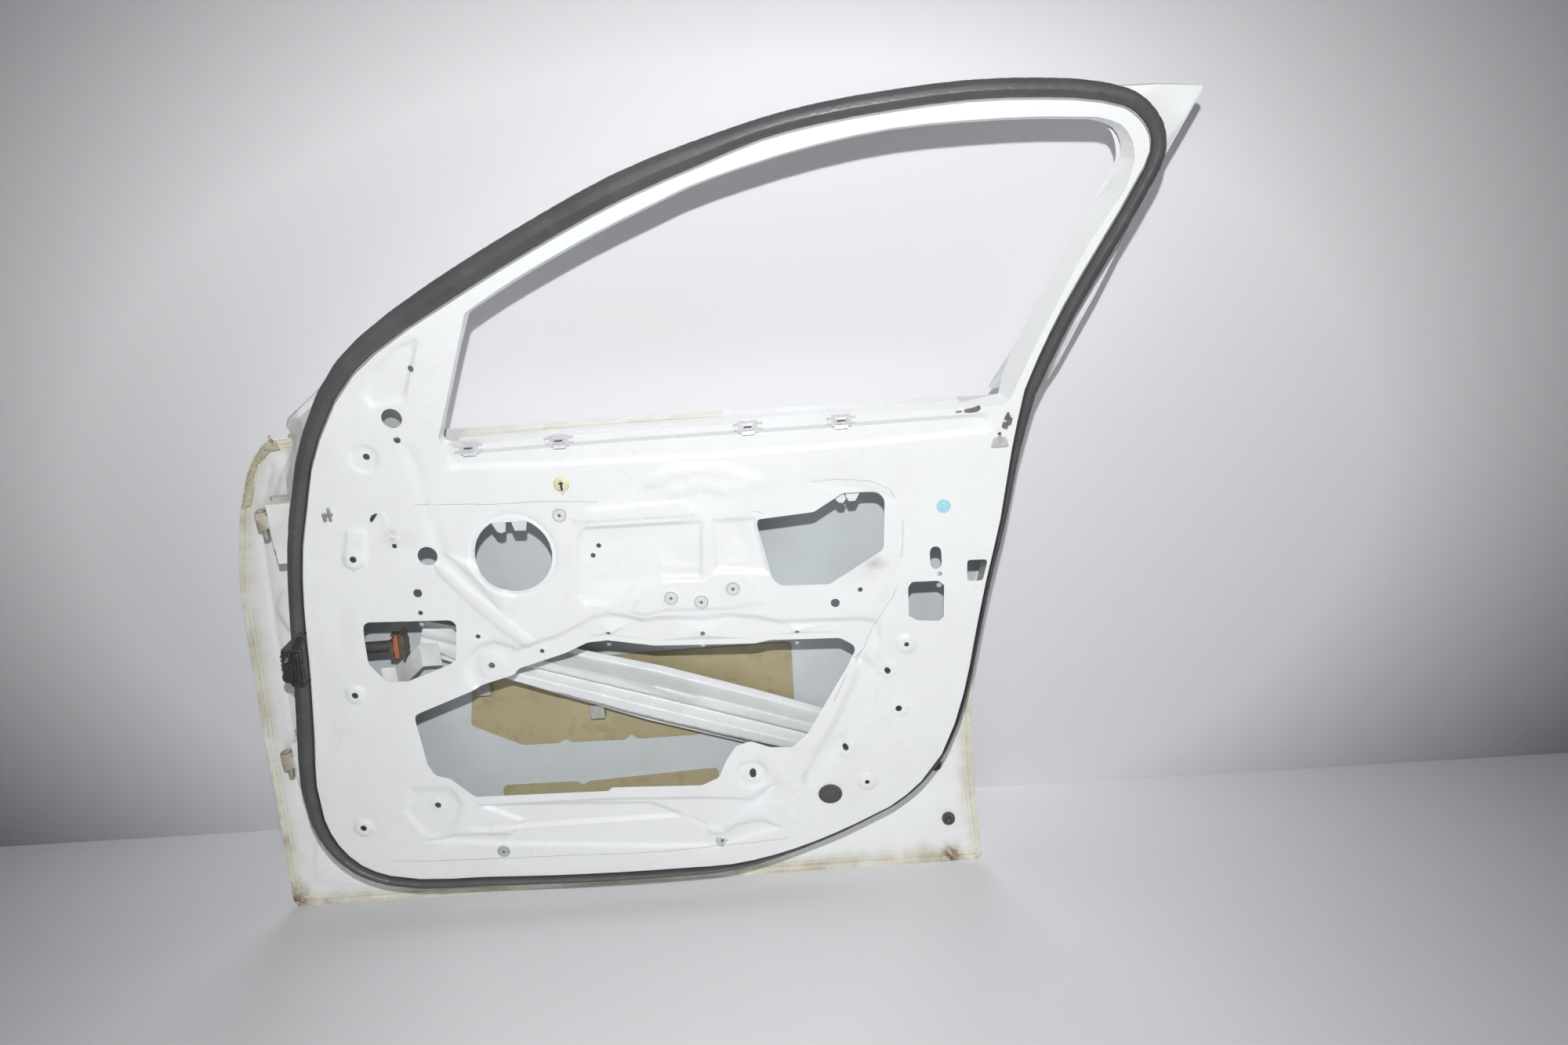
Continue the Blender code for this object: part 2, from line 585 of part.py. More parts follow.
LEDGE_SHARE, RUN_SHARE, DROP_SHARE, SEAL_SHARE = rim_values(LAND_LOOP, RIM_SHARES)
LEDGE_LOOP = offset(LAND_LOOP, STEP_RUN)
SHOULDER_LOOP = offset(LAND_LOOP, STEP_RUN + LEDGE_SHARE * LEDGE_WIDTH)
WALL_LOOP = offset(LAND_LOOP, STEP_RUN + LEDGE_SHARE * LEDGE_WIDTH + RUN_SHARE * WALL_RUN)
LEDGE_DEPTH = land_depth(LAND_LOOP) + DROP_SHARE * LEDGE_DROP
WALL_DEPTH = flange_depth(WALL_LOOP) - FLANGE_LIFT
SHOULDER_DEPTH = np.minimum(LEDGE_DEPTH, WALL_DEPTH)


def pressed_forms():
    """The pressed forms of the trim land as outline, depth and draft."""
    forms = [
        (polygon(BELT_GROOVE_SHARES, OPENING_RADIUS), PRESS_DEPTH, PRESS_DRAFT),
        (polygon(CENTRE_PANEL_SHARES, OPENING_RADIUS), PRESS_DEPTH, PRESS_DRAFT),
        (polygon(REAR_PANEL_SHARES, OPENING_RADIUS), PRESS_DEPTH, PRESS_DRAFT),
        (polygon(RIDGE_SHARES, OPENING_RADIUS), -PRESS_DEPTH, PRESS_DRAFT),
        (polygon(DIAGONAL_RIB_SHARES, OPENING_RADIUS), -PRESS_DEPTH, PRESS_DRAFT),
        (polygon(REAR_HOLLOW_SHARES, OPENING_RADIUS), PRESS_DEPTH, PRESS_DRAFT),
        (polygon(BOTTOM_HOLLOW_SHARES, OPENING_RADIUS), PRESS_DEPTH, PRESS_DRAFT),
        (polygon(MIRROR_HOLLOW_SHARES, OPENING_RADIUS), PRESS_DEPTH, PRESS_DRAFT),
        (circle(at(SPEAKER_SHARES), SPEAKER_RADIUS + SPEAKER_RING, 28),
         PRESS_DEPTH / 2, BOSS_DRAFT),
    ]
    for along, up, radius in BOSSES:
        forms.append((circle(at((along, up)), radius, 8), -BOSS_HEIGHT, BOSS_DRAFT))
    return forms


PRESSED_FORMS = pressed_forms()


def panel_depth(points):
    """Depth of the trim land with its pressed forms."""
    points = np.asarray(points)
    depth = np.array(land_depth(points), dtype=float)
    for loop, press, draft in PRESSED_FORMS:
        share = np.where(inside(loop, points), edge_distance(loop, points) / draft, 0.0)
        depth = depth + press * np.clip(share, 0, 1)
    return depth


def panel_openings():
    """The openings and holes of the trim land, apart from the window."""
    openings = [polygon(shares, OPENING_RADIUS) for shares in (
        LARGE_OPENING_SHARES, FRONT_OPENING_SHARES, REAR_OPENING_SHARES)]
    openings.append(polygon(LATCH_OPENING_SHARES, PRESS_DEPTH))
    openings.append(polygon(EDGE_NOTCH_SHARES, PRESS_DEPTH))
    openings.append(np.array(places(SLIT_SHARES)[::-1]))
    openings.append(circle(at(SPEAKER_SHARES), SPEAKER_RADIUS, 28))
    openings.append(oblong(at(LATCH_SLOT_SHARES), LATCH_SLOT_WIDTH, LATCH_SLOT_HEIGHT))
    openings.append(oblong(at(SLOT_SHARES), SLOT_WIDTH, SLOT_HEIGHT, 3))
    for along, up, diameter in HOLE_SHARES:
        openings.append(circle(at((along, up)), diameter / 2, 12 if diameter > TRIM_HOLE else 8))
    return openings


class Sheet:
    """A pressed sheet: loops and points with depths, joined into triangles."""

    def __init__(self):
        self.points = []
        self.depths = []
        self.edges = []

    def add_loop(self, loop, depth):
        start = len(self.points)
        count = len(loop)
        self.points.extend(loop)
        self.depths.extend(np.broadcast_to(depth, count))
        numbers = [start + i for i in range(count)]
        self.edges.extend((numbers[i], numbers[(i + 1) % count]) for i in range(count))
        return numbers

    def add_strip(self, inner, outer):
        """Fixes how two loops with matching points are joined."""
        for i, (near, far) in enumerate(zip(inner, outer)):
            self.edges.append((near, far))
            self.edges.append((near, outer[(i + 1) % len(outer)]))

    def add_hem_line(self, line, depth, outer):
        """The line along the hem, joined to the loop outside it in a fixed way."""
        in_hem = line.imag < HEM_TOP
        numbers = {}
        for i in np.flatnonzero(in_hem):
            numbers[i] = len(self.points)
            self.points.append(line[i])
            self.depths.append(depth[i])
            self.edges.append((numbers[i], outer[i]))
        for i, number in numbers.items():
            following = (i + 1) % len(line)
            if following in numbers:
                self.edges.append((number, numbers[following]))
                self.edges.append((number, outer[following]))

    def add_points(self, points, depth):
        self.points.extend(points)
        self.depths.extend(depth)

    def add_grid(self, loop, step, depth_at, away_from):
        """Fills the loop with points that keep off the edges already there."""
        low_x, high_x = loop.real.min(), loop.real.max()
        low_z, high_z = loop.imag.min(), loop.imag.max()
        columns = max(2, round((high_x - low_x) / step))
        rows = max(2, round((high_z - low_z) / step))
        grid = np.array([complex(low_x + (high_x - low_x) * (i + 0.5 * (j % 2)) / columns,
                                 low_z + (high_z - low_z) * j / rows)
                         for j in range(rows + 1) for i in range(columns + 1)])
        grid = grid[inside(loop, grid)]
        for edge_loop in [loop] + away_from:
            grid = grid[edge_distance(edge_loop, grid) > 0.30 * step]
        self.add_points(grid, depth_at(grid))

    def triangles(self, boundary, holes, depth_at):
        """Corner places and triangles inside the boundary and outside the holes."""
        flat = [Vector((point.real, point.imag)) for point in self.points]
        corners, _, faces, origins, _, _ = delaunay_2d_cdt(flat, self.edges, [], 0, 1e-6)
        spots = np.array([complex(corner.x, corner.y) for corner in corners])
        depths = depth_at(spots)
        for number, origin in enumerate(origins):
            if origin:
                depths[number] = self.depths[origin[0]]
        centers = np.array([spots[list(face)].mean() for face in faces])
        kept = inside(boundary, centers)
        for hole in holes:
            kept &= ~inside(hole, centers)
        return spots, depths, [face for face, keep in zip(faces, kept) if keep]


def sheet_mesh(spots, depths, faces, facing_outboard=False):
    """A mesh from the triangles of a sheet, with its normals facing one way."""
    mesh = bmesh.new()
    corners = [mesh.verts.new((spot.real, depth, spot.imag))
               for spot, depth in zip(spots, depths)]
    for face in faces:
        order = face[::-1] if facing_outboard else face
        mesh.faces.new([corners[number] for number in order])
    loose = [vertex for vertex in mesh.verts if not vertex.link_faces]
    bmesh.ops.delete(mesh, geom=loose, context="VERTS")
    return mesh


def clear_scene():
    for item in list(bpy.data.objects):
        bpy.data.objects.remove(item, do_unlink=True)


def finish_material(name, color, roughness, metallic=0.0):
    material = bpy.data.materials.new(name)
    material.use_nodes = True
    shader = material.node_tree.nodes["Principled BSDF"]
    shader.inputs["Base Color"].default_value = (*color, 1.0)
    shader.inputs["Roughness"].default_value = roughness
    shader.inputs["Metallic"].default_value = metallic
    material.diffuse_color = (*color, 1.0)
    return material


def add_piece(door, name, mesh, material, smooth=True):
    """Adds a mesh to the door as one named piece."""
    data = bpy.data.meshes.new(name)
    if isinstance(mesh, bmesh.types.BMesh):
        mesh.to_mesh(data)
        mesh.free()
    else:
        data = mesh
        data.name = name
    data.materials.clear()
    data.materials.append(material)
    if smooth:
        data.shade_smooth()
        data.set_sharp_from_angle(angle=math.radians(32))
    piece = bpy.data.objects.new(name, data)
    piece.parent = door["origin"]
    door["collection"].objects.link(piece)
    return piece


def thicken(piece, thickness):
    """Gives a sheet its thickness, away from the side that its normals face."""
    solid = piece.modifiers.new("sheet", "SOLIDIFY")
    solid.thickness = thickness
    solid.offset = -1.0
    solid.use_even_offset = True
    return piece


def make_inner_panel(door, material):
    sheet = Sheet()
    openings = panel_openings()
    run_share, depth_share = rim_values(WINDOW_LOOP, WINDOW_RIM_SHARES)
    reveal_loop = offset(WINDOW_LOOP, -run_share * REVEAL_RUN)
    crease_depth = panel_depth(WINDOW_LOOP)
    flange_edge = offset(OUTER_LOOP, -FLANGE_INSET)
    flange_line = offset(OUTER_LOOP, -(HEM_WIDTH + CLEARANCE))
    outer = sheet.add_loop(flange_edge, flange_depth(flange_edge))
    sheet.add_hem_line(flange_line, flange_depth(flange_line), outer)
    land = sheet.add_loop(LAND_LOOP, land_depth(LAND_LOOP))
    ledge = sheet.add_loop(LEDGE_LOOP, LEDGE_DEPTH)
    shoulder = sheet.add_loop(SHOULDER_LOOP, SHOULDER_DEPTH)
    wall = sheet.add_loop(WALL_LOOP, WALL_DEPTH)
    sheet.add_strip(land, ledge)
    sheet.add_strip(ledge, shoulder)
    sheet.add_strip(shoulder, wall)
    reveal = sheet.add_loop(reveal_loop, crease_depth + depth_share * REVEAL_DEPTH)
    crease = sheet.add_loop(WINDOW_LOOP, crease_depth)
    sheet.add_strip(reveal, crease)
    edges = [LAND_LOOP, WINDOW_LOOP]
    for loop in openings:
        sheet.add_loop(loop, panel_depth(loop))
        edges.append(loop)
    for loop, _, draft in PRESSED_FORMS:
        foot = offset(loop, -draft)
        sheet.add_loop(loop, panel_depth(loop))
        sheet.add_loop(foot, panel_depth(foot))
        edges.append(loop)
    sheet.add_grid(LAND_LOOP, PANEL_GRID, panel_depth, edges)
    spots, depths, faces = sheet.triangles(flange_edge, openings + [reveal_loop], panel_depth)
    door["panel"] = surface_tree(spots, depths, faces)
    panel = add_piece(door, "inner_panel", sheet_mesh(spots, depths, faces), material)
    return thicken(panel, PANEL_SHEET)


def make_outer_panel(door, material):
    sheet = Sheet()
    inset_loop = offset(SKIN_LOOP, -(HEM_WIDTH + CLEARANCE))
    inset = sheet.add_loop(inset_loop, skin_depth(inset_loop))
    edge = sheet.add_loop(SKIN_LOOP, skin_depth(SKIN_LOOP))
    sheet.add_strip(inset, edge)
    sheet.add_grid(inset_loop, SKIN_GRID, skin_depth, [])
    spots, depths, faces = sheet.triangles(SKIN_LOOP, [], skin_depth)
    door["skin"] = surface_tree(spots, depths, faces)
    mesh = sheet_mesh(spots, depths, faces, facing_outboard=True)
    add_hem(mesh)
    return thicken(add_piece(door, "outer_panel", mesh, material), SKIN_SHEET)


def add_hem(mesh):
    """Folds the edge of the skin round the panel's flange."""
    stack = 2 * SKIN_SHEET + PANEL_SHEET + 2 * CLEARANCE
    return_loop = offset(SKIN_LOOP, -HEM_WIDTH)
    edge_places = to_space(SKIN_LOOP, skin_depth(SKIN_LOOP))
    fold_places = to_space(SKIN_LOOP, skin_depth(SKIN_LOOP) - stack)
    return_places = to_space(return_loop, skin_depth(return_loop) - stack)
    mesh.verts.ensure_lookup_table()
    rim = [vertex for vertex in mesh.verts if vertex.is_boundary]
    rings = {}
    for i in np.flatnonzero(SKIN_LOOP.imag < HEM_TOP):
        edge_vertex = min(rim, key=lambda vertex: (vertex.co - edge_places[i]).length)
        rings[i] = (edge_vertex, mesh.verts.new(fold_places[i]), mesh.verts.new(return_places[i]))
    for i, (edge, fold, back) in rings.items():
        following = rings.get((i + 1) % len(SKIN_LOOP))
        if following:
            mesh.faces.new([edge, following[0], following[1]])
            mesh.faces.new([edge, following[1], fold])
            mesh.faces.new([fold, following[1], back])
            mesh.faces.new([following[1], following[2], back])


def to_space(loop, depth):
    return [Vector((point.real, y, point.imag)) for point, y in zip(loop, depth)]


def surface_tree(spots, depths, faces):
    corners = to_space(spots, depths)
    return BVHTree.FromPolygons(corners, [list(face) for face in faces])


def surface_hit(tree, point):
    """Place and normal of a sheet where a line along Y meets it."""
    place, normal, _, _ = tree.ray_cast(Vector((point.real, -1.0, point.imag)), Vector((0, 1, 0)))
    return place, normal if normal.y < 0 else -normal


def wall_place(tree, depth, height):
    """Distance along the door at which the front wall stands."""
    place, _, _, _ = tree.ray_cast(Vector((-1.0, depth, height)), Vector((1, 0, 0)))
    return place.x


def frame_depth(points):
    """Depth of the outer window frame, without its crown."""
    return flange_depth(points) + PANEL_SHEET + 3 * CLEARANCE


def make_outer_frame(door, material):
    inner_edge = np.array(smooth_run(places(FRAME_INNER_SHARES)))
    front_foot = inner_edge[0].imag
    rear_foot = inner_edge[-1].imag
    middle = DOOR_LENGTH / 2
    above = np.where(OUTER_LOOP.real < middle, OUTER_LOOP.imag > front_foot,
                     OUTER_LOOP.imag > rear_foot)
    outer_edge = OUTER_LOOP[above]
    boundary = rounded(np.concatenate([outer_edge, inner_edge]), PRESS_DEPTH)
    crown_line = offset(boundary, -FRAME_CROWN_RUN)
    sheet = Sheet()
    sheet.add_loop(boundary, frame_depth(boundary))
    waist = at(FRONT_TOP_SHARES[0]).imag

    def crowned(points):
        run = edge_distance(outer_edge, points, closed=False) / FRAME_CROWN_RUN
        rise = blend((points.imag - waist) / FRAME_DEPTH)
        return frame_depth(points) + FRAME_CROWN * blend(run) * rise

    sheet.depths = list(crowned(boundary))
    kept = inside(boundary, crown_line)
    kept &= edge_distance(boundary, crown_line) > 0.8 * FRAME_CROWN_RUN
    sheet.add_points(crown_line[kept], crowned(crown_line[kept]))
    spots, depths, faces = sheet.triangles(boundary, [], crowned)
    mesh = sheet_mesh(spots, depths, faces)
    return thicken(add_piece(door, "frame_outer", mesh, material), SKIN_SHEET)


def wall_strip(low, high, lowest, highest, gap, front):
    """A strip along the wall between two heights, a gap away from the panel's back."""
    shoulder = to_space(SHOULDER_LOOP, SHOULDER_DEPTH)
    foot = to_space(WALL_LOOP, WALL_DEPTH)
    middle = DOOR_LENGTH / 2
    chosen = [i for i, point in enumerate(SHOULDER_LOOP)
              if lowest < point.imag < highest and (point.real < middle) == front]
    lines = [(shoulder[chosen[0]], foot[chosen[0]])]
    normals = []
    for i in chosen[:-1]:
        following = (i + 1) % len(shoulder)
        lines.append((shoulder[i], foot[following]))
        lines.append((shoulder[following], foot[following]))
        normals.append((foot[i] - shoulder[i]).cross(foot[following] - shoulder[i]))
        normals.append((foot[following] - shoulder[i]).cross(shoulder[following] - shoulder[i]))
    normals = [normal.normalized() * math.copysign(1, normal.y) for normal in normals]
    mesh = bmesh.new()
    rows = []
    for i, (near, far) in enumerate(lines):
        before = normals[max(i - 1, 0)]
        after = normals[min(i, len(normals) - 1)]
        normal = (before + after).normalized()
        shift = normal * gap / normal.dot(after)
        rows.append([mesh.verts.new(near.lerp(far, share) + shift) for share in (low, high)])
    for row, following in zip(rows, rows[1:]):
        mesh.faces.new([row[0], row[1], following[1], following[0]])
    bmesh.ops.recalc_face_normals(mesh, faces=mesh.faces)
    if sum(face.normal.y for face in mesh.faces) > 0:
        bmesh.ops.reverse_faces(mesh, faces=mesh.faces)
    return mesh


def make_reinforcements(door, material):
    gap = PANEL_SHEET + CLEARANCE
    front = wall_strip(LINER_SHARE_LOW, LINER_SHARE_HIGH, HINGE_LOWER_HEIGHT - LEAF_HEIGHT,
                       HINGE_UPPER_HEIGHT + LEAF_HEIGHT, gap, True)
    liner = thicken(add_piece(door, "hinge_reinforcement", front, material), LINER_SHEET)
    rear = wall_strip(LINER_SHARE_LOW, LINER_SHARE_HIGH, LATCH_LINER_LOW, LATCH_LINER_HIGH,
                      gap, False)
    thicken(add_piece(door, "latch_reinforcement", rear, material), LINER_SHEET)
    return liner


def lofted(sections, closed=False, capped=True):
    """A body through sections with matching corners."""
    mesh = bmesh.new()
    rings = [[mesh.verts.new(corner) for corner in section] for section in sections]
    pairs = list(zip(rings, rings[1:]))
    if closed:
        pairs.append((rings[-1], rings[0]))
    for ring, following in pairs:
        for i in range(len(ring)):
            j = (i + 1) % len(ring)
            mesh.faces.new([ring[i], ring[j], following[i]])
            mesh.faces.new([ring[j], following[j], following[i]])
    if capped and not closed:
        mesh.faces.new(rings[0][::-1])
        mesh.faces.new(rings[-1])
    bmesh.ops.triangulate(mesh, faces=mesh.faces)
    bmesh.ops.recalc_face_normals(mesh, faces=mesh.faces)
    return mesh


def prism(corners, start, end):
    """A body with the same section at both ends: corners are places, ends are shifts."""
    return lofted([[Vector(corner) + Vector(start) for corner in corners],
                   [Vector(corner) + Vector(end) for corner in corners]])


def block(center, size):
    """A plain box."""
    x, y, z = (side / 2 for side in size)
    corners = [(-x, -y, 0), (x, -y, 0), (x, y, 0), (-x, y, 0)]
    shift = Vector(center)
    return prism([shift + Vector(corner) for corner in corners], (0, 0, -z), (0, 0, z))


def turned(profile, place, normal, facets=12, squash=1.0):
    """A turned body: the profile gives radius and height along the normal."""
    mesh = bmesh.new()
    turn = Vector(normal).to_track_quat("Z", "Y").to_matrix().to_4x4()
    rings = []
    for radius, height in profile:
        count = facets if radius > 0 else 1
        ring = []
        for i in range(count):
            angle = 2 * math.pi * i / facets
            spot = Vector((radius * math.cos(angle), radius * squash * math.sin(angle), height))
            ring.append(mesh.verts.new(Vector(place) + turn.to_3x3() @ spot))
        rings.append(ring)
    closed = profile[0][0] > 0
    for ring, following in zip(rings, rings[1:] + ([rings[0]] if closed else [])):
        for i in range(facets):
            j = (i + 1) % facets
            corners = [ring[i % len(ring)], ring[j % len(ring)],
                       following[j % len(following)], following[i % len(following)]]
            corners = [corner for k, corner in enumerate(corners) if corner not in corners[:k]]
            if len(corners) > 2:
                mesh.faces.new(corners)
    bmesh.ops.recalc_face_normals(mesh, faces=mesh.faces)
    return mesh


def helper(door, name, mesh):
    """A body that only shapes others and is hidden."""
    data = bpy.data.meshes.new(name)
    mesh.to_mesh(data)
    mesh.free()
    body = bpy.data.objects.new(name, data)
    body.parent = door["origin"]
    body.hide_render = True
    body.display_type = "WIRE"
    door["helpers"].objects.link(body)
    return body


def combine(piece, body, operation):
    change = piece.modifiers.new(operation.lower(), "BOOLEAN")
    change.operation = operation
    change.object = body
    change.solver = "EXACT"


def make_waist_rails(door, material):
    belt = np.array(smooth_run(places(BELT_EDGE_SHARES)))[::-1]
    low_end = at(WINDOW_BOTTOM_SHARES[0]).real + RAIL_FLANGE
    high_end = at(WINDOW_BOTTOM_SHARES[-1]).real - 3 * RAIL_FLANGE
    stations = np.linspace(low_end, high_end, 9)
    heights = np.interp(stations, belt.real, belt.imag)
    creases = np.array(smooth_run(places(WINDOW_BOTTOM_SHARES)))
    crease_heights = np.interp(stations, creases.real, creases.imag)
    outer_sections = []
    inner_sections = []
    for x, height, crease in zip(stations, heights, crease_heights):
        top = height - 2 * CLEARANCE
        foot = top - RAIL_FLANGE
        skin_foot = surface_hit(door["skin"], complex(x, foot))[0].y
        skin_top = surface_hit(door["skin"], complex(x, top))[0].y
        back = SKIN_SHEET + RAIL_SHEET + 3 * CLEARANCE
        drop = skin_top - RAIL_LEDGE
        outer_sections.append(rail_section(x, [
            (skin_foot - back, foot), (skin_top - back, top), (drop, top),
            (drop, top - RAIL_FLANGE)]))
        inner = drop - BELT_SLOT
        levels = [crease - share * RAIL_FLANGE for share in RAIL_FOOT_SHARES]
        foot_hits = [surface_hit(door["panel"], complex(x, level))[0].y for level in levels]
        seat = max(foot_hits) + PANEL_SHEET + CLEARANCE
        inner_sections.append(rail_section(x, [
            (seat, levels[0]), (seat, levels[-1]), (inner, levels[-1] + BELT_SLOT),
            (inner, crease - RAIL_SHEET)]))
    add_piece(door, "waist_rail_outer", lofted(outer_sections), material)
    add_piece(door, "waist_rail_inner", lofted(inner_sections), material)


def rail_section(x, line):
    """A thin section around a line of depths and heights."""
    points = np.array([complex(depth, height) for depth, height in line])
    forward = np.diff(points)
    normals = -1j * forward / np.abs(forward)
    before = np.concatenate([normals[:1], normals])
    after = np.concatenate([normals, normals[-1:]])
    middle = (before + after) / np.abs(before + after)
    stretch = np.real(middle * np.conj(after))
    back = points + middle * RAIL_SHEET / stretch
    return [Vector((x, point.real, point.imag)) for point in list(points) + list(back[::-1])]


def make_beam(door, material):
    start = at(BEAM_FRONT_SHARES)
    end = at(BEAM_REAR_SHARES)
    across = 1j * (end - start) / abs(end - start)
    sections = []
    for share in BEAM_STATION_SHARES:
        middle = start + (end - start) * share
        width = BEAM_WIDTH * np.interp(share, *np.array(BEAM_WIDTH_SHARES).T)
        crest = BEAM_DEPTH * np.interp(share, *np.array(BEAM_CREST_SHARES).T)
        line = [complex(v * width, -w * crest) for v, w in BEAM_SECTION_SHARES]
        points = np.array(line)
        forward = np.diff(points)
        normals = 1j * forward / np.abs(forward)
        before = np.concatenate([normals[:1], normals])
        after = np.concatenate([normals, normals[-1:]])
        offset_way = (before + after) / np.abs(before + after)
        front = points + offset_way * BEAM_SHEET / np.real(offset_way * np.conj(after))
        ring = list(points) + list(front[::-1])
        section = []
        for point in ring:
            spot = middle + across * point.real
            section.append(Vector((spot.real, BEAM_BACK + point.imag, spot.imag)))
        sections.append(section)
    add_piece(door, "impact_beam", lofted(sections), material)


def make_brackets(door, material):
    """The two plates between the panel's back and the ends of the beam."""
    panel_back = PANEL_SHEET + 2 * CLEARANCE
    lap = BEAM_BACK - BEAM_END_SHARE * BEAM_DEPTH - BRACKET_SHEET - 2 * CLEARANCE
    for name, start, height, way in (
            ("beam_bracket_front", at(BEAM_FRONT_SHARES), BRACKET_FRONT_HEIGHT, -1),
            ("beam_bracket_rear", at(BEAM_REAR_SHARES), BRACKET_REAR_HEIGHT, 1)):
        near = start.real - way * BRACKET_LAP
        bend = start.real + way * BRACKET_SHEET * 2
        foot = bend + way * BRACKET_LAP / 2
        line = [(near, lap), (bend, lap), (foot, panel_back), (foot + way * BRACKET_FOOT, panel_back)]
        corners = [(x, y, 0) for x, y in line]
        corners += [(x, y + BRACKET_SHEET, 0) for x, y in line[::-1]]
        add_piece(door, name, prism(corners, (0, 0, height), (0, 0, height + BRACKET_HEIGHT)),
                  material)


def make_seal(door, material):
    sections = []
    outward = offset(LAND_LOOP, STEP_RUN) - LAND_LOOP
    outward = outward / np.abs(outward)
    for i, point in enumerate(LAND_LOOP):
        width = SEAL_SHARE[i] * SEAL_WIDTH
        height = SEAL_HEIGHT * (0.4 + 0.6 * min(1.0, SEAL_SHARE[i]))
        base = LEDGE_DEPTH[i] - 2 * CLEARANCE
        section = []
        ledge = min(0.7, LEDGE_SHARE[i] * LEDGE_WIDTH / width)
        for u, v in SEAL_SECTION_SHARES + [(ledge, 0.0)]:
            spot = point + outward[i] * (STEP_RUN + 2 * CLEARANCE + u * width)
            section.append(Vector((spot.real, base - v * height, spot.imag)))
        sections.append(section)
    add_piece(door, "door_seal", lofted(sections, closed=True), material)


def make_hinge(door, name, place, knuckle, materials):
    """A leaf on the front wall with its raised middle, its knuckle, its pin and two bolts."""
    front_x, middle_z = place
    knuckle_x, knuckle_z = knuckle
    sections = []
    for share, sunk in LEAF_LEVEL_SHARES:
        z = middle_z + share * LEAF_HEIGHT
        face = front_x + sunk * LEAF_STEP
        section = [Vector((face, LEAF_INNER, z)), Vector((face, LEAF_FLAT, z)),
                   Vector((face - LEAF_SLANT, LEAF_OUTER, z))]
        for y in (LEAF_OUTER, LEAF_FLAT, LEAF_INNER):
            wall = min(wall_place(door["panel"], y, z + reach) for reach in LEAF_REACHES)
            section.append(Vector((wall - 2 * CLEARANCE, y, z)))
        sections.append(section)
    leaf = add_piece(door, "hinge_leaf_" + name, lofted(sections), materials["steel"])
    low = knuckle_z - KNUCKLE_HEIGHT / 2
    high = knuckle_z + KNUCKLE_HEIGHT / 2
    root = LEAF_SLANT / 4
    arm = prism([(knuckle_x, KNUCKLE_DEPTH - KNUCKLE_RADIUS, 0), (front_x + root, LEAF_FLAT + root, 0),
                 (front_x - root, LEAF_OUTER - root, 0), (knuckle_x, KNUCKLE_DEPTH + KNUCKLE_RADIUS, 0)],
                (0, 0, low + root), (0, 0, high - root))
    barrel = turned([(0, low), (KNUCKLE_RADIUS, low), (KNUCKLE_RADIUS, high), (0, high)],
                    (knuckle_x, KNUCKLE_DEPTH, 0), (0, 0, 1), 16)
    reach = 2 * KNUCKLE_HEIGHT
    bore = turned([(0, low - reach), (HINGE_PIN_RADIUS + CLEARANCE, low - reach),
                   (HINGE_PIN_RADIUS + CLEARANCE, high + reach), (0, high + reach)],
                  (knuckle_x, KNUCKLE_DEPTH, 0), (0, 0, 1), 16)
    combine(leaf, helper(door, "arm_" + name, arm), "UNION")
    combine(leaf, helper(door, "barrel_" + name, barrel), "UNION")
    combine(leaf, helper(door, "bore_" + name, bore), "DIFFERENCE")
    head = high + CLEARANCE
    pin = turned([(0, low - PIN_TAIL), (HINGE_PIN_RADIUS, low - PIN_TAIL), (HINGE_PIN_RADIUS, head),
                  (PIN_HEAD_RADIUS, head), (PIN_HEAD_RADIUS, head + PIN_HEAD), (0, head + PIN_HEAD)],
                 (knuckle_x, KNUCKLE_DEPTH, 0), (0, 0, 1), 16)
    add_piece(door, "hinge_pin_" + name, pin, materials["steel"])
    profile = [(0, CLEARANCE), (BOLT_RADIUS, CLEARANCE), (BOLT_RADIUS, BOLT_HEAD * 0.8),
               (BOLT_RADIUS * 0.8, BOLT_HEAD), (0, BOLT_HEAD)]
    for number, way in ((1, 1), (2, -1)):
        spot = (front_x + LEAF_STEP, (LEAF_INNER + LEAF_FLAT) / 2,
                middle_z + way * BOLT_SPACING / 2)
        add_piece(door, f"hinge_bolt_{name}_{number}", turned(profile, spot, (-1, 0, 0), 6),
                  materials["steel"])


def make_pads(door, materials):
    skin_back = SKIN_SHEET + PAD_GAP
    for name, shares in (("damping_pad_main", MAIN_PAD_SHARES),
                         ("damping_pad_lower", LOWER_PAD_SHARES)):
        loop = polygon(shares[::-1], 2 * PRESS_DEPTH)

        def depth_at(points):
            hits = [surface_hit(door["skin"], point)[0].y for point in points]
            return np.array(hits) - skin_back

        sheet = Sheet()
        sheet.add_loop(loop, depth_at(loop))
        sheet.add_grid(loop, SKIN_GRID, depth_at, [])
        spots, depths, faces = sheet.triangles(loop, [], depth_at)
        mesh = sheet_mesh(spots, depths, faces, facing_outboard=True)
        thicken(add_piece(door, name, mesh, materials["pad"]), PAD_THICKNESS)
    for name, shares in zip(("foam_block_front", "foam_block_rear"), FOAM_BLOCK_SHARES):
        spot = at(shares)
        reach = FOAM_BLOCK_SIZE / 2
        nearest = min(surface_hit(door["skin"], spot + reach * corner)[0].y
                      for corner in (1 + 1j, 1 - 1j, -1 + 1j, -1 - 1j))
        back = nearest - skin_back - PAD_THICKNESS - PAD_GAP
        depth = back - FOAM_BLOCK_DEPTH / 2
        add_piece(door, name, block((spot.real, depth, spot.imag),
                                    (FOAM_BLOCK_SIZE, FOAM_BLOCK_DEPTH, FOAM_BLOCK_SIZE)),
                  materials["foam"], smooth=False)


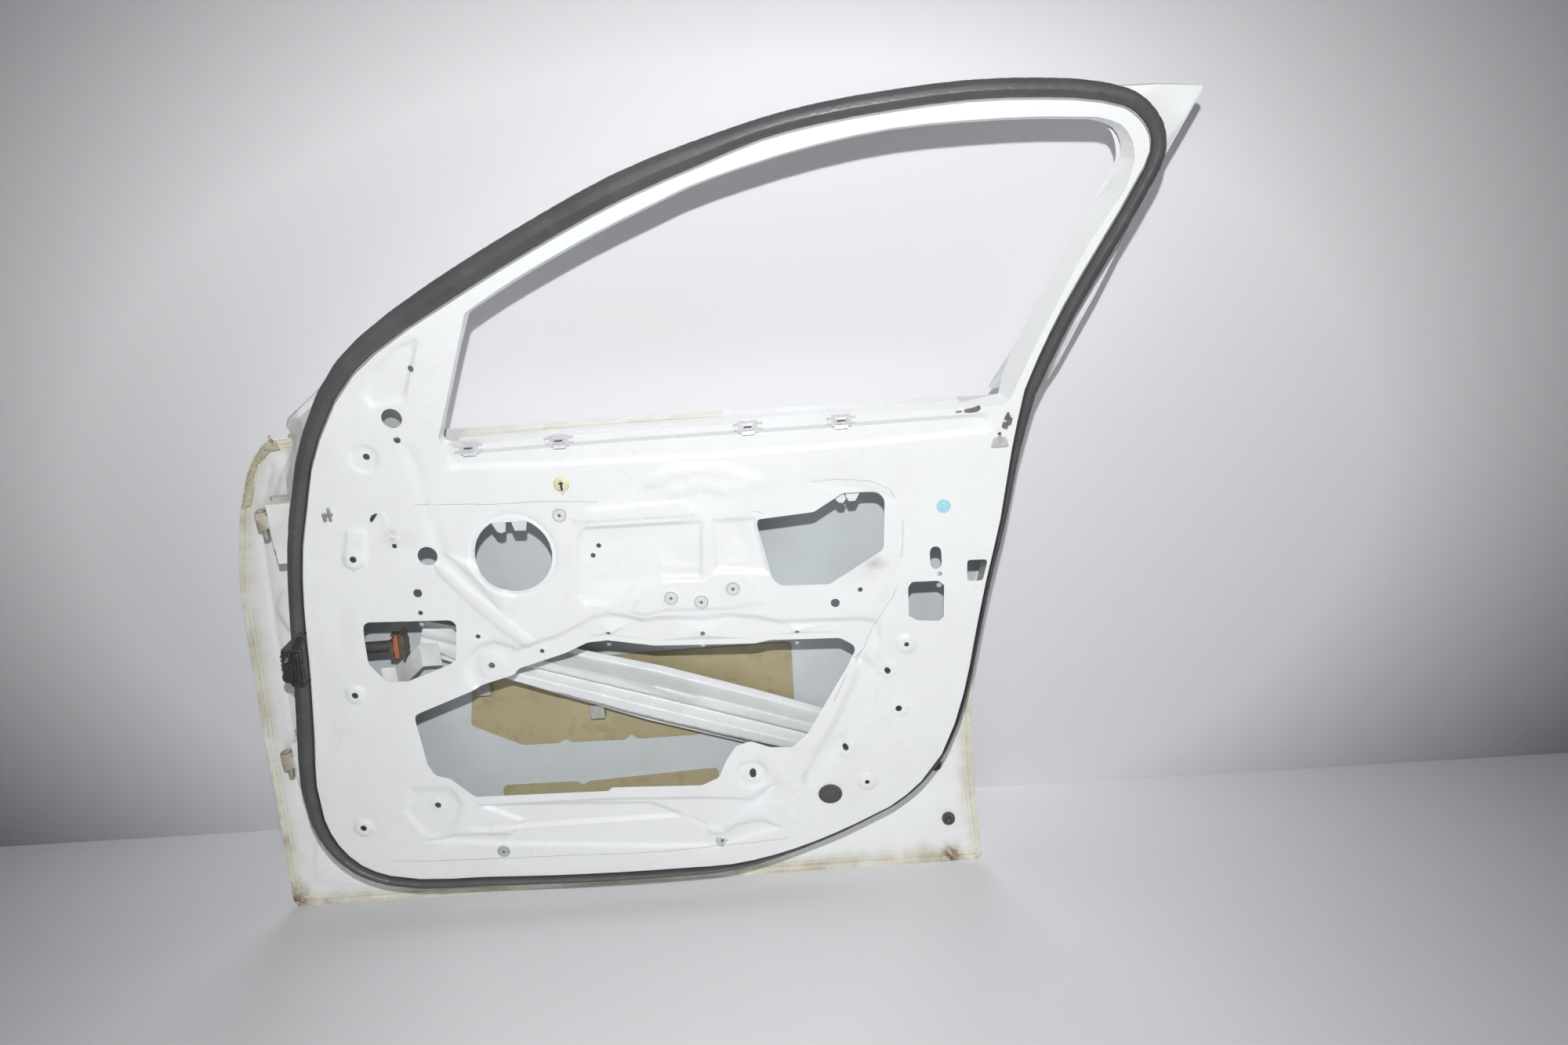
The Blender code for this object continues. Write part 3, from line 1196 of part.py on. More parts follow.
def rounded_ring(x, depth, height, width, tall, corner):
    """A rounded upright rectangle across the door at a distance along it."""
    corners = [complex(sx * width / 2, sz * tall / 2)
               for sx, sz in ((-1, -1), (1, -1), (1, 1), (-1, 1))]
    return [Vector((x, depth + point.real, height + point.imag))
            for point in rounded(corners, corner)]


def make_harness(door, panel, liner, materials):
    """The stub of wiring that passes through the front wall."""
    boot_sections = []
    for share, scale in ((0.0, 1.0), (0.55, 0.94), (1.0, 0.66)):
        ring = rounded_ring(0, HARNESS_DEPTH, HARNESS_HEIGHT, BOOT_WIDTH * scale,
                            BOOT_HEIGHT * scale, SLEEVE_RADIUS)
        section = []
        for corner in ring:
            wall = wall_place(door["panel"], corner.y, corner.z)
            section.append(Vector((wall - 2 * CLEARANCE - share * BOOT_LENGTH, corner.y, corner.z)))
        boot_sections.append(section)
    wall = wall_place(door["panel"], HARNESS_DEPTH, HARNESS_HEIGHT)
    add_piece(door, "harness_boot", lofted(boot_sections), materials["rubber"])
    start = wall_place(door["panel"], HARNESS_DEPTH - SLEEVE_RADIUS, HARNESS_HEIGHT) + CLEARANCE
    axis = (start, HARNESS_DEPTH, HARNESS_HEIGHT)
    length = SLEEVE_END - start
    sleeve = turned([(0, 0), (SLEEVE_RADIUS, 0), (SLEEVE_RADIUS, length), (0, length)],
                    axis, (1, 0, 0), 12)
    add_piece(door, "harness_sleeve", sleeve, materials["plastic"])
    opening = SLEEVE_RADIUS + CLEARANCE
    reach = 3 * SLEEVE_RADIUS
    cut = turned([(0, -reach), (opening, -reach), (opening, 2 * reach), (0, 2 * reach)],
                 (wall, HARNESS_DEPTH, HARNESS_HEIGHT), (1, 0, 0), 12)
    cutter = helper(door, "wiring_hole", cut)
    combine(panel, cutter, "DIFFERENCE")
    combine(liner, cutter, "DIFFERENCE")
    plate_start = SLEEVE_END + CLEARANCE
    plate_end = plate_start + FLANGE_THICKNESS
    plate = [rounded_ring(x, HARNESS_DEPTH, HARNESS_HEIGHT, 1.2 * FLANGE_RADIUS,
                          2 * FLANGE_RADIUS, FLANGE_THICKNESS) for x in (plate_start, plate_end)]
    add_piece(door, "connector_flange", lofted(plate), materials["plastic"])
    lock = block((plate_end + CLEARANCE + LOCK_THICKNESS / 2, HARNESS_DEPTH, HARNESS_HEIGHT),
                 (LOCK_THICKNESS, LOCK_WIDTH, LOCK_HEIGHT))
    add_piece(door, "connector_lock", lock, materials["orange"], smooth=False)


def make_fittings(door, materials):
    """Clips, plugs, nuts and buffers on the trim side of the panel."""
    for number, shares in enumerate(WAIST_CLIP_SHARES, 1):
        spot = at(shares)
        half = WAIST_CLIP_WIDTH / 2
        bottom_edge = np.array(smooth_run(places(WINDOW_BOTTOM_SHARES)))
        creases = np.interp([spot.real - half, spot.real + half], bottom_edge.real,
                            bottom_edge.imag)
        top = creases.max() + WAIST_CLIP_TOP
        ends = [surface_hit(door["panel"], complex(spot.real + side * half, level))[0]
                for side in (-1, 0, 1)
                for level in np.linspace(top - WAIST_CLIP_HEIGHT, creases.min() - CLEARANCE, 5)]
        face = min(end.y for end in ends) - 2 * CLEARANCE
        thin = WAIST_CLIP_SHEET
        line = [(face, top - WAIST_CLIP_HEIGHT), (face, top), (face + WAIST_CLIP_HEIGHT / 2, top),
                (face + WAIST_CLIP_HEIGHT / 2, top + thin), (face - thin, top + thin),
                (face - thin, top - WAIST_CLIP_HEIGHT)]
        corners = [(spot.real, y, z) for y, z in line]
        add_piece(door, f"waist_clip_{number}", prism(corners, (-half, 0, 0), (half, 0, 0)),
                  materials["steel"])
    ring = [(RIVET_NUT_BORE, 0), (RIVET_NUT_RADIUS, 0), (RIVET_NUT_RADIUS, 0.6 * RIVET_NUT_HEIGHT),
            (0.8 * RIVET_NUT_RADIUS, RIVET_NUT_HEIGHT), (RIVET_NUT_BORE, RIVET_NUT_HEIGHT)]
    for number, shares in enumerate(RIVET_NUT_SHARES, 1):
        add_fitting(door, f"rivet_nut_{number}", ring, at(shares), materials["zinc"])
    for name, shares, radius, squash, look in (
            ("grommet_yellow", GROMMET_SHARES, GROMMET_RADIUS, 1.0, "yellow"),
            ("plug_blue", BLUE_PLUG_SHARES, BLUE_PLUG_RADIUS, 1.0, "blue"),
            ("plug_oval", OVAL_PLUG_SHARES, OVAL_PLUG_WIDTH / 2,
             OVAL_PLUG_HEIGHT / OVAL_PLUG_WIDTH, "plastic")):
        dome = [(0, 0), (radius, 0), (radius, 0.4 * PLUG_HEIGHT),
                (0.75 * radius, 0.9 * PLUG_HEIGHT), (0, PLUG_HEIGHT)]
        add_fitting(door, name, dome, at(shares), materials[look], 16, squash)
    for number, shares in enumerate(BUMP_STOP_SHARES, 1):
        buffer = [(0, 0), (BUMP_STOP_RADIUS, 0), (BUMP_STOP_RADIUS, 0.3 * BUMP_STOP_HEIGHT),
                  (0.7 * BUMP_STOP_RADIUS, 0.5 * BUMP_STOP_HEIGHT),
                  (0.6 * BUMP_STOP_RADIUS, BUMP_STOP_HEIGHT), (0, BUMP_STOP_HEIGHT)]
        add_fitting(door, f"bump_stop_{number}", buffer, at(shares), materials["rubber"])
    for name, shares in (("trim_clip_front", TRIM_CLIP_FRONT_SHARES),
                         ("trim_clip_rear", TRIM_CLIP_REAR_SHARES),
                         ("trim_clip_pillar", TRIM_CLIP_PILLAR_SHARES)):
        spot = at(shares)
        corners = [surface_hit(door["panel"], spot + sx * TRIM_CLIP_WIDTH / 2
                               + sz * 0.5j * TRIM_CLIP_HEIGHT)[0].y
                   for sx in (-1, 1) for sz in (-1, 1)]
        depth = min(corners) - CLEARANCE - TRIM_CLIP_DEPTH / 2
        add_piece(door, name, block((spot.real, depth, spot.imag),
                                    (TRIM_CLIP_WIDTH, TRIM_CLIP_DEPTH, TRIM_CLIP_HEIGHT)),
                  materials["plastic"], smooth=False)


def add_fitting(door, name, profile, point, material, facets=12, squash=1.0):
    """A turned piece standing on the panel at a point."""
    place, normal = surface_hit(door["panel"], point)
    add_piece(door, name, turned(profile, place + normal * CLEARANCE, normal, facets, squash),
              material)


def make_foam_strip(door, material):
    """The foam strip on the hem of the upper front edge."""
    stack = 2 * SKIN_SHEET + PANEL_SHEET + 3 * CLEARANCE
    near = offset(SKIN_LOOP, -2 * CLEARANCE)
    far = offset(SKIN_LOOP, -(HEM_WIDTH - 2 * CLEARANCE))
    chosen = [i for i, point in enumerate(SKIN_LOOP)
              if FOAM_STRIP_LOW < point.imag < HEM_TOP and point.real < SKIN_GRID * 4]
    sections = []
    for i in chosen:
        section = []
        for spot, lift in ((near[i], 0), (far[i], 0), (far[i], FOAM_STRIP_THICKNESS),
                           (near[i], FOAM_STRIP_THICKNESS)):
            depth = skin_depth(spot) - stack - lift
            section.append(Vector((spot.real, depth, spot.imag)))
        sections.append(section)
    add_piece(door, "foam_strip", lofted(sections), material)


def main():
    clear_scene()
    collection = bpy.data.collections.new("car_door_shell")
    helpers = bpy.data.collections.new("cutters")
    bpy.context.scene.collection.children.link(collection)
    bpy.context.scene.collection.children.link(helpers)
    origin = bpy.data.objects.new("door_origin", None)
    collection.objects.link(origin)
    origin.location = (-HINGE_UPPER_FRONT, -(LEAF_INNER + LEAF_FLAT) / 2, -HINGE_UPPER_HEIGHT)
    door = {"collection": collection, "helpers": helpers, "origin": origin}
    materials = {name: finish_material(name, *values) for name, values in FINISHES.items()}
    panel = make_inner_panel(door, materials["paint"])
    make_outer_panel(door, materials["paint"])
    make_outer_frame(door, materials["paint"])
    make_waist_rails(door, materials["paint"])
    liner = make_reinforcements(door, materials["paint"])
    make_beam(door, materials["zinc"])
    make_brackets(door, materials["paint"])
    make_seal(door, materials["rubber"])
    make_hinge(door, "upper", (HINGE_UPPER_FRONT, HINGE_UPPER_HEIGHT), UPPER_KNUCKLE, materials)
    make_hinge(door, "lower", (HINGE_LOWER_FRONT, HINGE_LOWER_HEIGHT), LOWER_KNUCKLE, materials)
    make_pads(door, materials)
    make_harness(door, panel, liner, materials)
    make_fittings(door, materials)
    make_foam_strip(door, materials["foam"])


main()
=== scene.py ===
"""Looks of a bare front car door shell, seen from its trim side.

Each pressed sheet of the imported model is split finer, its creases are rounded and small
forms are added, and every piece gets a procedural finish. Lengths are in metres. A door
place is given along the door from its front hem and up from its bottom hem.
"""
import math

import bmesh
import bpy
import numpy as np
from mathutils import Matrix, Vector
from mathutils.bvhtree import BVHTree
from mathutils.kdtree import KDTree


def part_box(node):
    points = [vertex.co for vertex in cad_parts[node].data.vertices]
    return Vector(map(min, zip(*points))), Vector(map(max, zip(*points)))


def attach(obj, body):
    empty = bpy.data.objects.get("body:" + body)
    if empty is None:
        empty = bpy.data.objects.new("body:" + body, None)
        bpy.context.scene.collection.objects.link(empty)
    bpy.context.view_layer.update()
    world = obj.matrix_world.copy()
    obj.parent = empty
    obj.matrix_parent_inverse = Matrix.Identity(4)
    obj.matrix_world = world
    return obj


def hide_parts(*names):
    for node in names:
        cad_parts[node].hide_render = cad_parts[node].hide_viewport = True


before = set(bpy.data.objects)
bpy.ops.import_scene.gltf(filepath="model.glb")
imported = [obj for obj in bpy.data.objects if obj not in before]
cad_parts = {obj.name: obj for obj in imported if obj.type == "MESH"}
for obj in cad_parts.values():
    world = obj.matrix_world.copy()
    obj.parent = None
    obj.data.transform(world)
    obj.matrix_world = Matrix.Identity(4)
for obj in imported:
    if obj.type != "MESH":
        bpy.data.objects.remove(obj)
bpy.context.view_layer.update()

# The front end of the hem, the trim land and the bottom hem, seen from the model's origin
DOOR_ORIGIN = np.array([0.1165, 0.041, 0.600])
FLOOR_HEIGHT = -0.600
SHEET = 0.0008
MOST_TRIANGLES = 195000
SPEAKER_HOLE = (0.4452, 0.5548)
SPEAKER_RADIUS = 0.0520
INBOARD = (0, -1, 0)
# The camera is fitted to the straight edges of the door in the photograph
CAMERA_PLACE = (0.7506, -1.5499, 0.4755)
CAMERA_YAW = math.radians(-2.3412)
CAMERA_PITCH = math.radians(18.4802)
CAMERA_ROLL = math.radians(5.1809)
FOCAL_LENGTH = 28.0
SENSOR_WIDTH = 36.0

rng = np.random.default_rng(5)


def to_row(x, y, z):
    """A door place in the frame of the model."""
    return np.array([x, y, z]) - DOOR_ORIGIN


def door_places(points):
    """How far points lie along the door and up from its bottom hem."""
    return points[:, 0] + DOOR_ORIGIN[0], points[:, 2] + DOOR_ORIGIN[2]


def run(*values):
    """A run of places in metres from pairs of millimetres."""
    return [(x / 1000, z / 1000) for x, z in zip(values[::2], values[1::2])]


def eased_share(share):
    """A share from zero to one that starts and ends softly."""
    share = np.clip(share, 0, 1)
    return share * share * (3 - 2 * share)


# Materials


class Look:
    """A procedural material with its Principled shader."""

    def __init__(self, name, roughness=0.4, metallic=0.0):
        self.material = bpy.data.materials.new(name)
        self.material.use_nodes = True
        self.tree = self.material.node_tree
        self.shader = self.tree.nodes["Principled BSDF"]
        self.shader.inputs["Roughness"].default_value = roughness
        self.shader.inputs["Metallic"].default_value = metallic
        self.place = self.add("ShaderNodeTexCoord").outputs["Object"]

    def add(self, kind, **values):
        node = self.tree.nodes.new(kind)
        for name, value in values.items():
            setattr(node, name, value)
        return node

    def link(self, source, target):
        self.tree.links.new(source, target)

    def noise(self, scale, detail=3.0, rough=0.55):
        node = self.add("ShaderNodeTexNoise")
        node.inputs["Scale"].default_value = scale
        node.inputs["Detail"].default_value = detail
        node.inputs["Roughness"].default_value = rough
        self.link(self.place, node.inputs["Vector"])
        return node.outputs["Fac"]

    def ramp(self, source, low, high, bottom=0.0, top=1.0):
        node = self.add("ShaderNodeMapRange")
        for name, value in zip(("From Min", "From Max", "To Min", "To Max"),
                               (low, high, bottom, top)):
            node.inputs[name].default_value = value
        self.link(source, node.inputs["Value"])
        return node.outputs["Result"]

    def math(self, operation, first, second):
        node = self.add("ShaderNodeMath", operation=operation)
        for socket, value in zip(node.inputs, (first, second)):
            if isinstance(value, (int, float)):
                socket.default_value = value
            else:
                self.link(value, socket)
        return node.outputs["Value"]

    def mix(self, factor, first, second):
        node = self.add("ShaderNodeMix", data_type="RGBA")
        self.link(factor, node.inputs[0])
        for socket, value in ((node.inputs[6], first), (node.inputs[7], second)):
            if isinstance(value, tuple):
                socket.default_value = (*value, 1.0)
            else:
                self.link(value, socket)
        return node.outputs[2]

    def attribute(self, name):
        return self.add("ShaderNodeAttribute", attribute_name=name).outputs["Fac"]

    def color(self, source):
        self.link(source, self.shader.inputs["Base Color"])

    def roughness(self, source):
        self.link(source, self.shader.inputs["Roughness"])

    def bump(self, source, distance, strength=1.0):
        node = self.add("ShaderNodeBump")
        node.inputs["Distance"].default_value = distance
        node.inputs["Strength"].default_value = strength
        self.link(source, node.inputs["Height"])
        self.link(node.outputs["Normal"], self.shader.inputs["Normal"])


def paint_look(name, tint):
    """White body paint with grime from the dirt attribute, aged paint from the aged one, and a primer
    grey darkened by painted shade of the door cavity.
    """
    look = Look(name)
    base = look.mix(look.ramp(look.noise(3.0, 2.0), 0.35, 0.65),
                    tuple(0.965 * c for c in tint), tint)
    # Primer grey of the skin's cavity side, made darker as painted shade of the door cavity
    base = look.mix(look.attribute("primed"), base, (0.63, 0.675, 0.695))
    blotches = look.ramp(look.noise(16.0, 6.0, 0.65), 0.40, 0.68)
    aged = look.math("MULTIPLY", look.attribute("aged"),
                     look.ramp(look.noise(26.0, 5.0), 0.28, 0.60, 0.55, 1.0))
    base = look.mix(aged, base, (0.74, 0.71, 0.57))
    edge = look.attribute("edge")
    wavy = look.math("ADD", look.math("MULTIPLY", edge, 21.0),
                     look.math("MULTIPLY", look.noise(14.0, 3.0), 3.0))
    lines = look.ramp(look.math("SINE", wavy, 0.0), 0.55, 1.0)
    lines = look.math("MULTIPLY", lines, look.ramp(look.noise(30.0, 4.0), 0.38, 0.62, 0.15, 0.75))
    lines = look.math("MULTIPLY", lines, look.math("MULTIPLY", aged, look.ramp(edge, 1.2, 0.7)))
    base = look.mix(lines, base, (0.40, 0.34, 0.20))
    grime = look.math("MULTIPLY", look.attribute("dirt"), blotches)
    base = look.mix(grime, base, (0.26, 0.21, 0.13))
    specks = look.ramp(look.noise(420.0, 2.0), 0.735, 0.775)
    base = look.mix(look.math("MULTIPLY", specks, 0.45), base, (0.30, 0.26, 0.20))
    rust = look.math("MULTIPLY", look.attribute("rust"),
                     look.ramp(look.noise(120.0, 6.0, 0.7), 0.34, 0.52))
    rust_color = look.mix(look.ramp(look.noise(300.0, 4.0), 0.35, 0.65),
                          (0.10, 0.045, 0.018), (0.27, 0.14, 0.06))
    base = look.mix(rust, base, rust_color)
    look.color(base)
    smooth = look.ramp(look.noise(9.0, 4.0), 0.3, 0.7, 0.24, 0.36)
    smooth = look.math("ADD", smooth, look.math("MULTIPLY", grime, 0.35))
    smooth = look.math("ADD", smooth, look.math("MULTIPLY", aged, 0.14))
    look.roughness(look.math("ADD", smooth, look.math("MULTIPLY", rust, 0.45)))
    ripple = look.math("ADD", look.noise(260.0, 2.0), look.math("MULTIPLY", rust, 2.5))
    look.bump(ripple, 0.00008, 0.5)
    return look.material


def plain_look(name, tint, other, roughness, metallic=0.0, scale=30.0, grain=400.0, depth=0.0001,
               grime=(0.16, 0.13, 0.09), dirt=0.5):
    """A finish of two close tints with dirt, fine grain and uneven gloss."""
    look = Look(name, roughness, metallic)
    base = look.mix(look.ramp(look.noise(scale, 5.0), 0.3, 0.7), tint, other)
    dirty = look.ramp(look.noise(scale * 2.4, 6.0, 0.7), 0.52, 0.74, 0.0, dirt)
    look.color(look.mix(dirty, base, grime))
    gloss = look.ramp(look.noise(scale * 3.0, 4.0), 0.3, 0.7, roughness - 0.07, roughness + 0.09)
    look.roughness(look.math("ADD", gloss, look.math("MULTIPLY", dirty, 0.25)))
    look.bump(look.noise(grain, 3.0), depth, 0.6)
    return look.material


LOOKS = {
    "paint": paint_look("painted_sheet", (0.835, 0.85, 0.855)),
    "rubber": plain_look("seal_rubber", (0.060, 0.061, 0.064), (0.084, 0.084, 0.086), 0.42,
                         scale=14.0, grain=900.0, depth=0.00005, grime=(0.13, 0.12, 0.10),
                         dirt=0.35),
    "pad": plain_look("damping_sheet", (0.40, 0.345, 0.205), (0.46, 0.40, 0.25), 0.58,
                      scale=12.0, grain=600.0, depth=0.0002, grime=(0.22, 0.17, 0.09)),
    "foam": plain_look("foam", (0.40, 0.40, 0.37), (0.50, 0.50, 0.47), 0.85, scale=60.0,
                       grain=1200.0, depth=0.0004),
    "foam_dirty": plain_look("worn_foam", (0.44, 0.39, 0.28), (0.60, 0.55, 0.43), 0.9,
                             scale=80.0, grain=600.0, depth=0.0008, grime=(0.20, 0.16, 0.10),
                             dirt=0.9),
    "steel": plain_look("worn_steel", (0.30, 0.25, 0.17), (0.60, 0.57, 0.48), 0.45, 0.55,
                        scale=130.0, grain=700.0, depth=0.0001, grime=(0.15, 0.075, 0.035),
                        dirt=0.7),
    "zinc": plain_look("zinc_clips", (0.50, 0.51, 0.52), (0.62, 0.63, 0.63), 0.34, 0.85,
                       scale=60.0, grain=900.0, depth=0.00004),
    "beam": paint_look("beam_paint", (0.80, 0.825, 0.83)),
    "plastic": plain_look("black_plastic", (0.020, 0.021, 0.023), (0.036, 0.036, 0.038), 0.42,
                          scale=50.0, grain=900.0, depth=0.00005, grime=(0.12, 0.11, 0.09),
                          dirt=0.3),
    "orange": plain_look("orange_lock", (0.34, 0.115, 0.045), (0.46, 0.17, 0.07), 0.5,
                         scale=70.0, dirt=0.6),
    "yellow": plain_look("cream_grommet", (0.70, 0.66, 0.40), (0.76, 0.73, 0.50), 0.42,
                         scale=80.0, dirt=0.45),
    "blue": plain_look("pale_blue_plug", (0.36, 0.66, 0.75), (0.46, 0.74, 0.80), 0.40,
                       scale=80.0, dirt=0.3),
    "grey_rim": plain_look("nut_rim", (0.30, 0.30, 0.30), (0.42, 0.42, 0.42), 0.45,
                           scale=140.0),
    "nut": plain_look("rivet_nut", (0.64, 0.65, 0.65), (0.74, 0.75, 0.75), 0.36,
                      scale=120.0, dirt=0.5, grime=(0.34, 0.33, 0.31)),
    "nut_flat": plain_look("rivet_nut_flat", (0.46, 0.48, 0.48), (0.56, 0.58, 0.58), 0.34,
                           0.4, scale=120.0, dirt=0.5),
    "clip": plain_look("spring_clip", (0.60, 0.61, 0.62), (0.76, 0.77, 0.78), 0.30, 0.2,
                       scale=90.0, grain=1100.0, depth=0.00004, grime=(0.34, 0.32, 0.29)),
    "boot": plain_look("harness_boot", (0.016, 0.016, 0.018), (0.034, 0.034, 0.036), 0.30,
                       scale=70.0, grain=700.0, depth=0.0001, grime=(0.16, 0.15, 0.13),
                       dirt=0.35),
    "grey_plastic": plain_look("grey_clip", (0.40, 0.41, 0.40), (0.50, 0.51, 0.50), 0.5,
                               scale=90.0, dirt=0.4),
    "grey_dark": plain_look("dark_clip", (0.10, 0.10, 0.10), (0.20, 0.20, 0.20), 0.55,
                            scale=160.0, dirt=0.5),
    "dirty_plastic": plain_look("dirty_connector", (0.055, 0.045, 0.035), (0.12, 0.095, 0.07),
                                0.6, scale=130.0, grime=(0.24, 0.19, 0.12), dirt=0.8),
    "sealer": plain_look("sealer_line", (0.30, 0.29, 0.28), (0.50, 0.49, 0.47), 0.6,
                         scale=40.0, dirt=0.4),
}

# Finer surfaces


def node_arrays(name):
    """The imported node's corners and triangles, with its doubled corners joined."""
    mesh = bmesh.new()
    mesh.from_mesh(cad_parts[name].data)
    bmesh.ops.remove_doubles(mesh, verts=mesh.verts, dist=0.00002)
    bmesh.ops.triangulate(mesh, faces=mesh.faces)
    mesh.verts.ensure_lookup_table()
    points = np.array([vert.co[:] for vert in mesh.verts])
    faces = np.array([[vert.index for vert in face.verts] for face in mesh.faces])
    mesh.free()
    return points, faces


def face_normals(points, faces):
    a, b, c = (points[faces[:, i]] for i in range(3))
    normals = np.cross(b - a, c - a)
    return normals / np.maximum(np.linalg.norm(normals, axis=1, keepdims=True), 1e-15)


def edge_table(faces):
    """Unique edges, the edges of each face, and how many faces share each edge."""
    pairs = np.concatenate([faces[:, [0, 1]], faces[:, [1, 2]], faces[:, [2, 0]]])
    edges, back, counts = np.unique(np.sort(pairs, axis=1), axis=0, return_inverse=True,
                                    return_counts=True)
    return edges, back.reshape(3, -1).T, counts


def edge_turns(faces, normals, edge_count, face_edges):
    """How far the surface turns at each edge; an open edge turns by zero."""
    first = np.full(edge_count, -1)
    second = np.full(edge_count, -1)
    numbers = np.arange(len(faces))
    for side in range(3):
        for face, edge in zip(numbers, face_edges[:, side]):
            if first[edge] < 0:
                first[edge] = face
            else:
                second[edge] = face
    both = second >= 0
    turns = np.zeros(edge_count)
    dots = np.sum(normals[first[both]] * normals[second[both]], axis=1)
    turns[both] = np.arccos(np.clip(dots, -1, 1))
    return turns, first, second


def trim_side(points, faces, sheet):
    """The triangles on the side of a thin sheet that faces inboard."""
    normals = face_normals(points, faces)
    edges, face_edges, _ = edge_table(faces)
    turns, first, second = edge_turns(faces, normals, len(edges), face_edges)
    lengths = np.linalg.norm(points[edges[:, 0]] - points[edges[:, 1]], axis=1)
    shortest = lengths[face_edges].min(axis=1)
    areas = np.linalg.norm(np.cross(points[faces[:, 1]] - points[faces[:, 0]],
                                    points[faces[:, 2]] - points[faces[:, 0]]), axis=1)
    start = int(np.argmax(areas * (normals[:, 1] < -0.9)))
    keep = np.zeros(len(faces), bool)
    keep[start] = True
    stack = [start]
    limit = math.radians(60)
    while stack:
        face = stack.pop()
        for edge in face_edges[face]:
            other = second[edge] if first[edge] == face else first[edge]
            if other < 0 or keep[other]:
                continue
            if turns[edge] > limit and shortest[other] < 1.4 * sheet:
                continue
            keep[other] = True
            stack.append(other)
    chosen = faces[keep]
    used = np.unique(chosen)
    numbers = np.full(len(points), -1)
    numbers[used] = np.arange(len(used))
    return points[used], numbers[chosen]


def crease_guide(points, faces, angle, extra):
    """A search tree of places along the creases, the open edges and the extra places."""
    normals = face_normals(points, faces)
    edges, face_edges, counts = edge_table(faces)
    turns, _, _ = edge_turns(faces, normals, len(edges), face_edges)
    marked = edges[(turns > angle) | (counts == 1)]
    spots = list(extra)
    for start, end in points[marked]:
        steps = max(1, int(np.linalg.norm(end - start) / 0.004))
        spots.extend(start + (end - start) * share for share in np.linspace(0, 1, steps + 1))
    tree = KDTree(len(spots))
    for number, spot in enumerate(spots):
        tree.insert(spot, number)
    tree.balance()
    return tree


def cut_faces(points, faces, cuts):
    """Cuts triangles where their edges have a new corner; -1 marks an edge without one."""
    count = (cuts >= 0).sum(axis=1)
    parts = [faces[count == 0]]
    for turn in range(3):
        a, b, c = (faces[:, (turn + i) % 3] for i in range(3))
        ab, bc, ca = (cuts[:, (turn + i) % 3] for i in range(3))
        one = (count == 1) & (ab >= 0)
        parts.append(np.stack([a[one], ab[one], c[one]], 1))
        parts.append(np.stack([ab[one], b[one], c[one]], 1))
        two = (count == 2) & (ca < 0)
        parts.append(np.stack([ab[two], b[two], bc[two]], 1))
        across = np.linalg.norm(points[ab[two]] - points[c[two]], axis=1)
        other = np.linalg.norm(points[a[two]] - points[bc[two]], axis=1)
        short = (across < other)[:, None]
        parts.append(np.where(short, np.stack([a[two], ab[two], c[two]], 1),
                              np.stack([a[two], ab[two], bc[two]], 1)))
        parts.append(np.where(short, np.stack([ab[two], bc[two], c[two]], 1),
                              np.stack([a[two], bc[two], c[two]], 1)))
    three = count == 3
    a, b, c = (faces[three, i] for i in range(3))
    ab, bc, ca = (cuts[three, i] for i in range(3))
    for corners in ((a, ab, ca), (ab, b, bc), (ca, bc, c), (ab, bc, ca)):
        parts.append(np.stack(corners, 1))
    return np.concatenate(parts)


def split(points, faces, near, far, angle=math.radians(4), rounds=9, extra=()):
    """Halves long edges until they are near long at creases and far long away from them."""
    tree = crease_guide(points, faces, angle, extra)
    for _ in range(rounds):
        edges, face_edges, _ = edge_table(faces)
        middles = (points[edges[:, 0]] + points[edges[:, 1]]) / 2
        lengths = np.linalg.norm(points[edges[:, 0]] - points[edges[:, 1]], axis=1)
        marked = lengths > far
        for number in np.nonzero((lengths > near) & ~marked)[0]:
            away = tree.find(middles[number])[2]
            marked[number] = lengths[number] > near + 0.55 * away
        if not marked.any():
            break
        numbers = np.full(len(edges), -1)
        numbers[marked] = len(points) + np.arange(marked.sum())
        points = np.concatenate([points, middles[marked]])
        faces = cut_faces(points, faces, numbers[face_edges])
    return points, faces


def open_loops(faces):
    """Chains of corners along the open edges."""
    _, face_edges, counts = edge_table(faces)
    rim = np.stack([faces, np.roll(faces, -1, axis=1)], axis=2)[counts[face_edges] == 1]
    ahead = {int(a): int(b) for a, b in rim}
    loops = []
    while ahead:
        start, here = ahead.popitem()
        loop = [start]
        while here != start and here in ahead:
            loop.append(here)
            here = ahead.pop(here)
        loops.append(loop)
    return loops


def round_holes(points, faces, times):
    """Doubles the corners of each round hole and puts them on its circle."""
    for _ in range(times):
        circles = []
        for loop in open_loops(faces):
            ring = points[loop]
            middle = ring.mean(axis=0)
            radii = np.linalg.norm(ring - middle, axis=1)
            if len(loop) > 7 and radii.max() < 0.06 and np.ptp(radii) < 0.04 * radii.mean():
                circles.append((loop, middle, radii.mean()))
        edges, face_edges, counts = edge_table(faces)
        member = np.zeros(len(points), int)
        for number, (loop, _, _) in enumerate(circles, 1):
            member[loop] = number
        both = member[edges[:, 0]] == member[edges[:, 1]]
        marked = both & (member[edges[:, 0]] > 0) & (counts == 1)
        middles = (points[edges[:, 0]] + points[edges[:, 1]]) / 2
        numbers = np.full(len(edges), -1)
        numbers[marked] = len(points) + np.arange(marked.sum())
        added = middles[marked]
        for spot, owner in zip(range(len(added)), member[edges[marked][:, 0]]):
            _, middle, radius = circles[owner - 1]
            away = added[spot] - middle
            added[spot] = middle + away * radius / np.linalg.norm(away)
        points = np.concatenate([points, added])
        faces = cut_faces(points, faces, numbers[face_edges])
    return points, faces


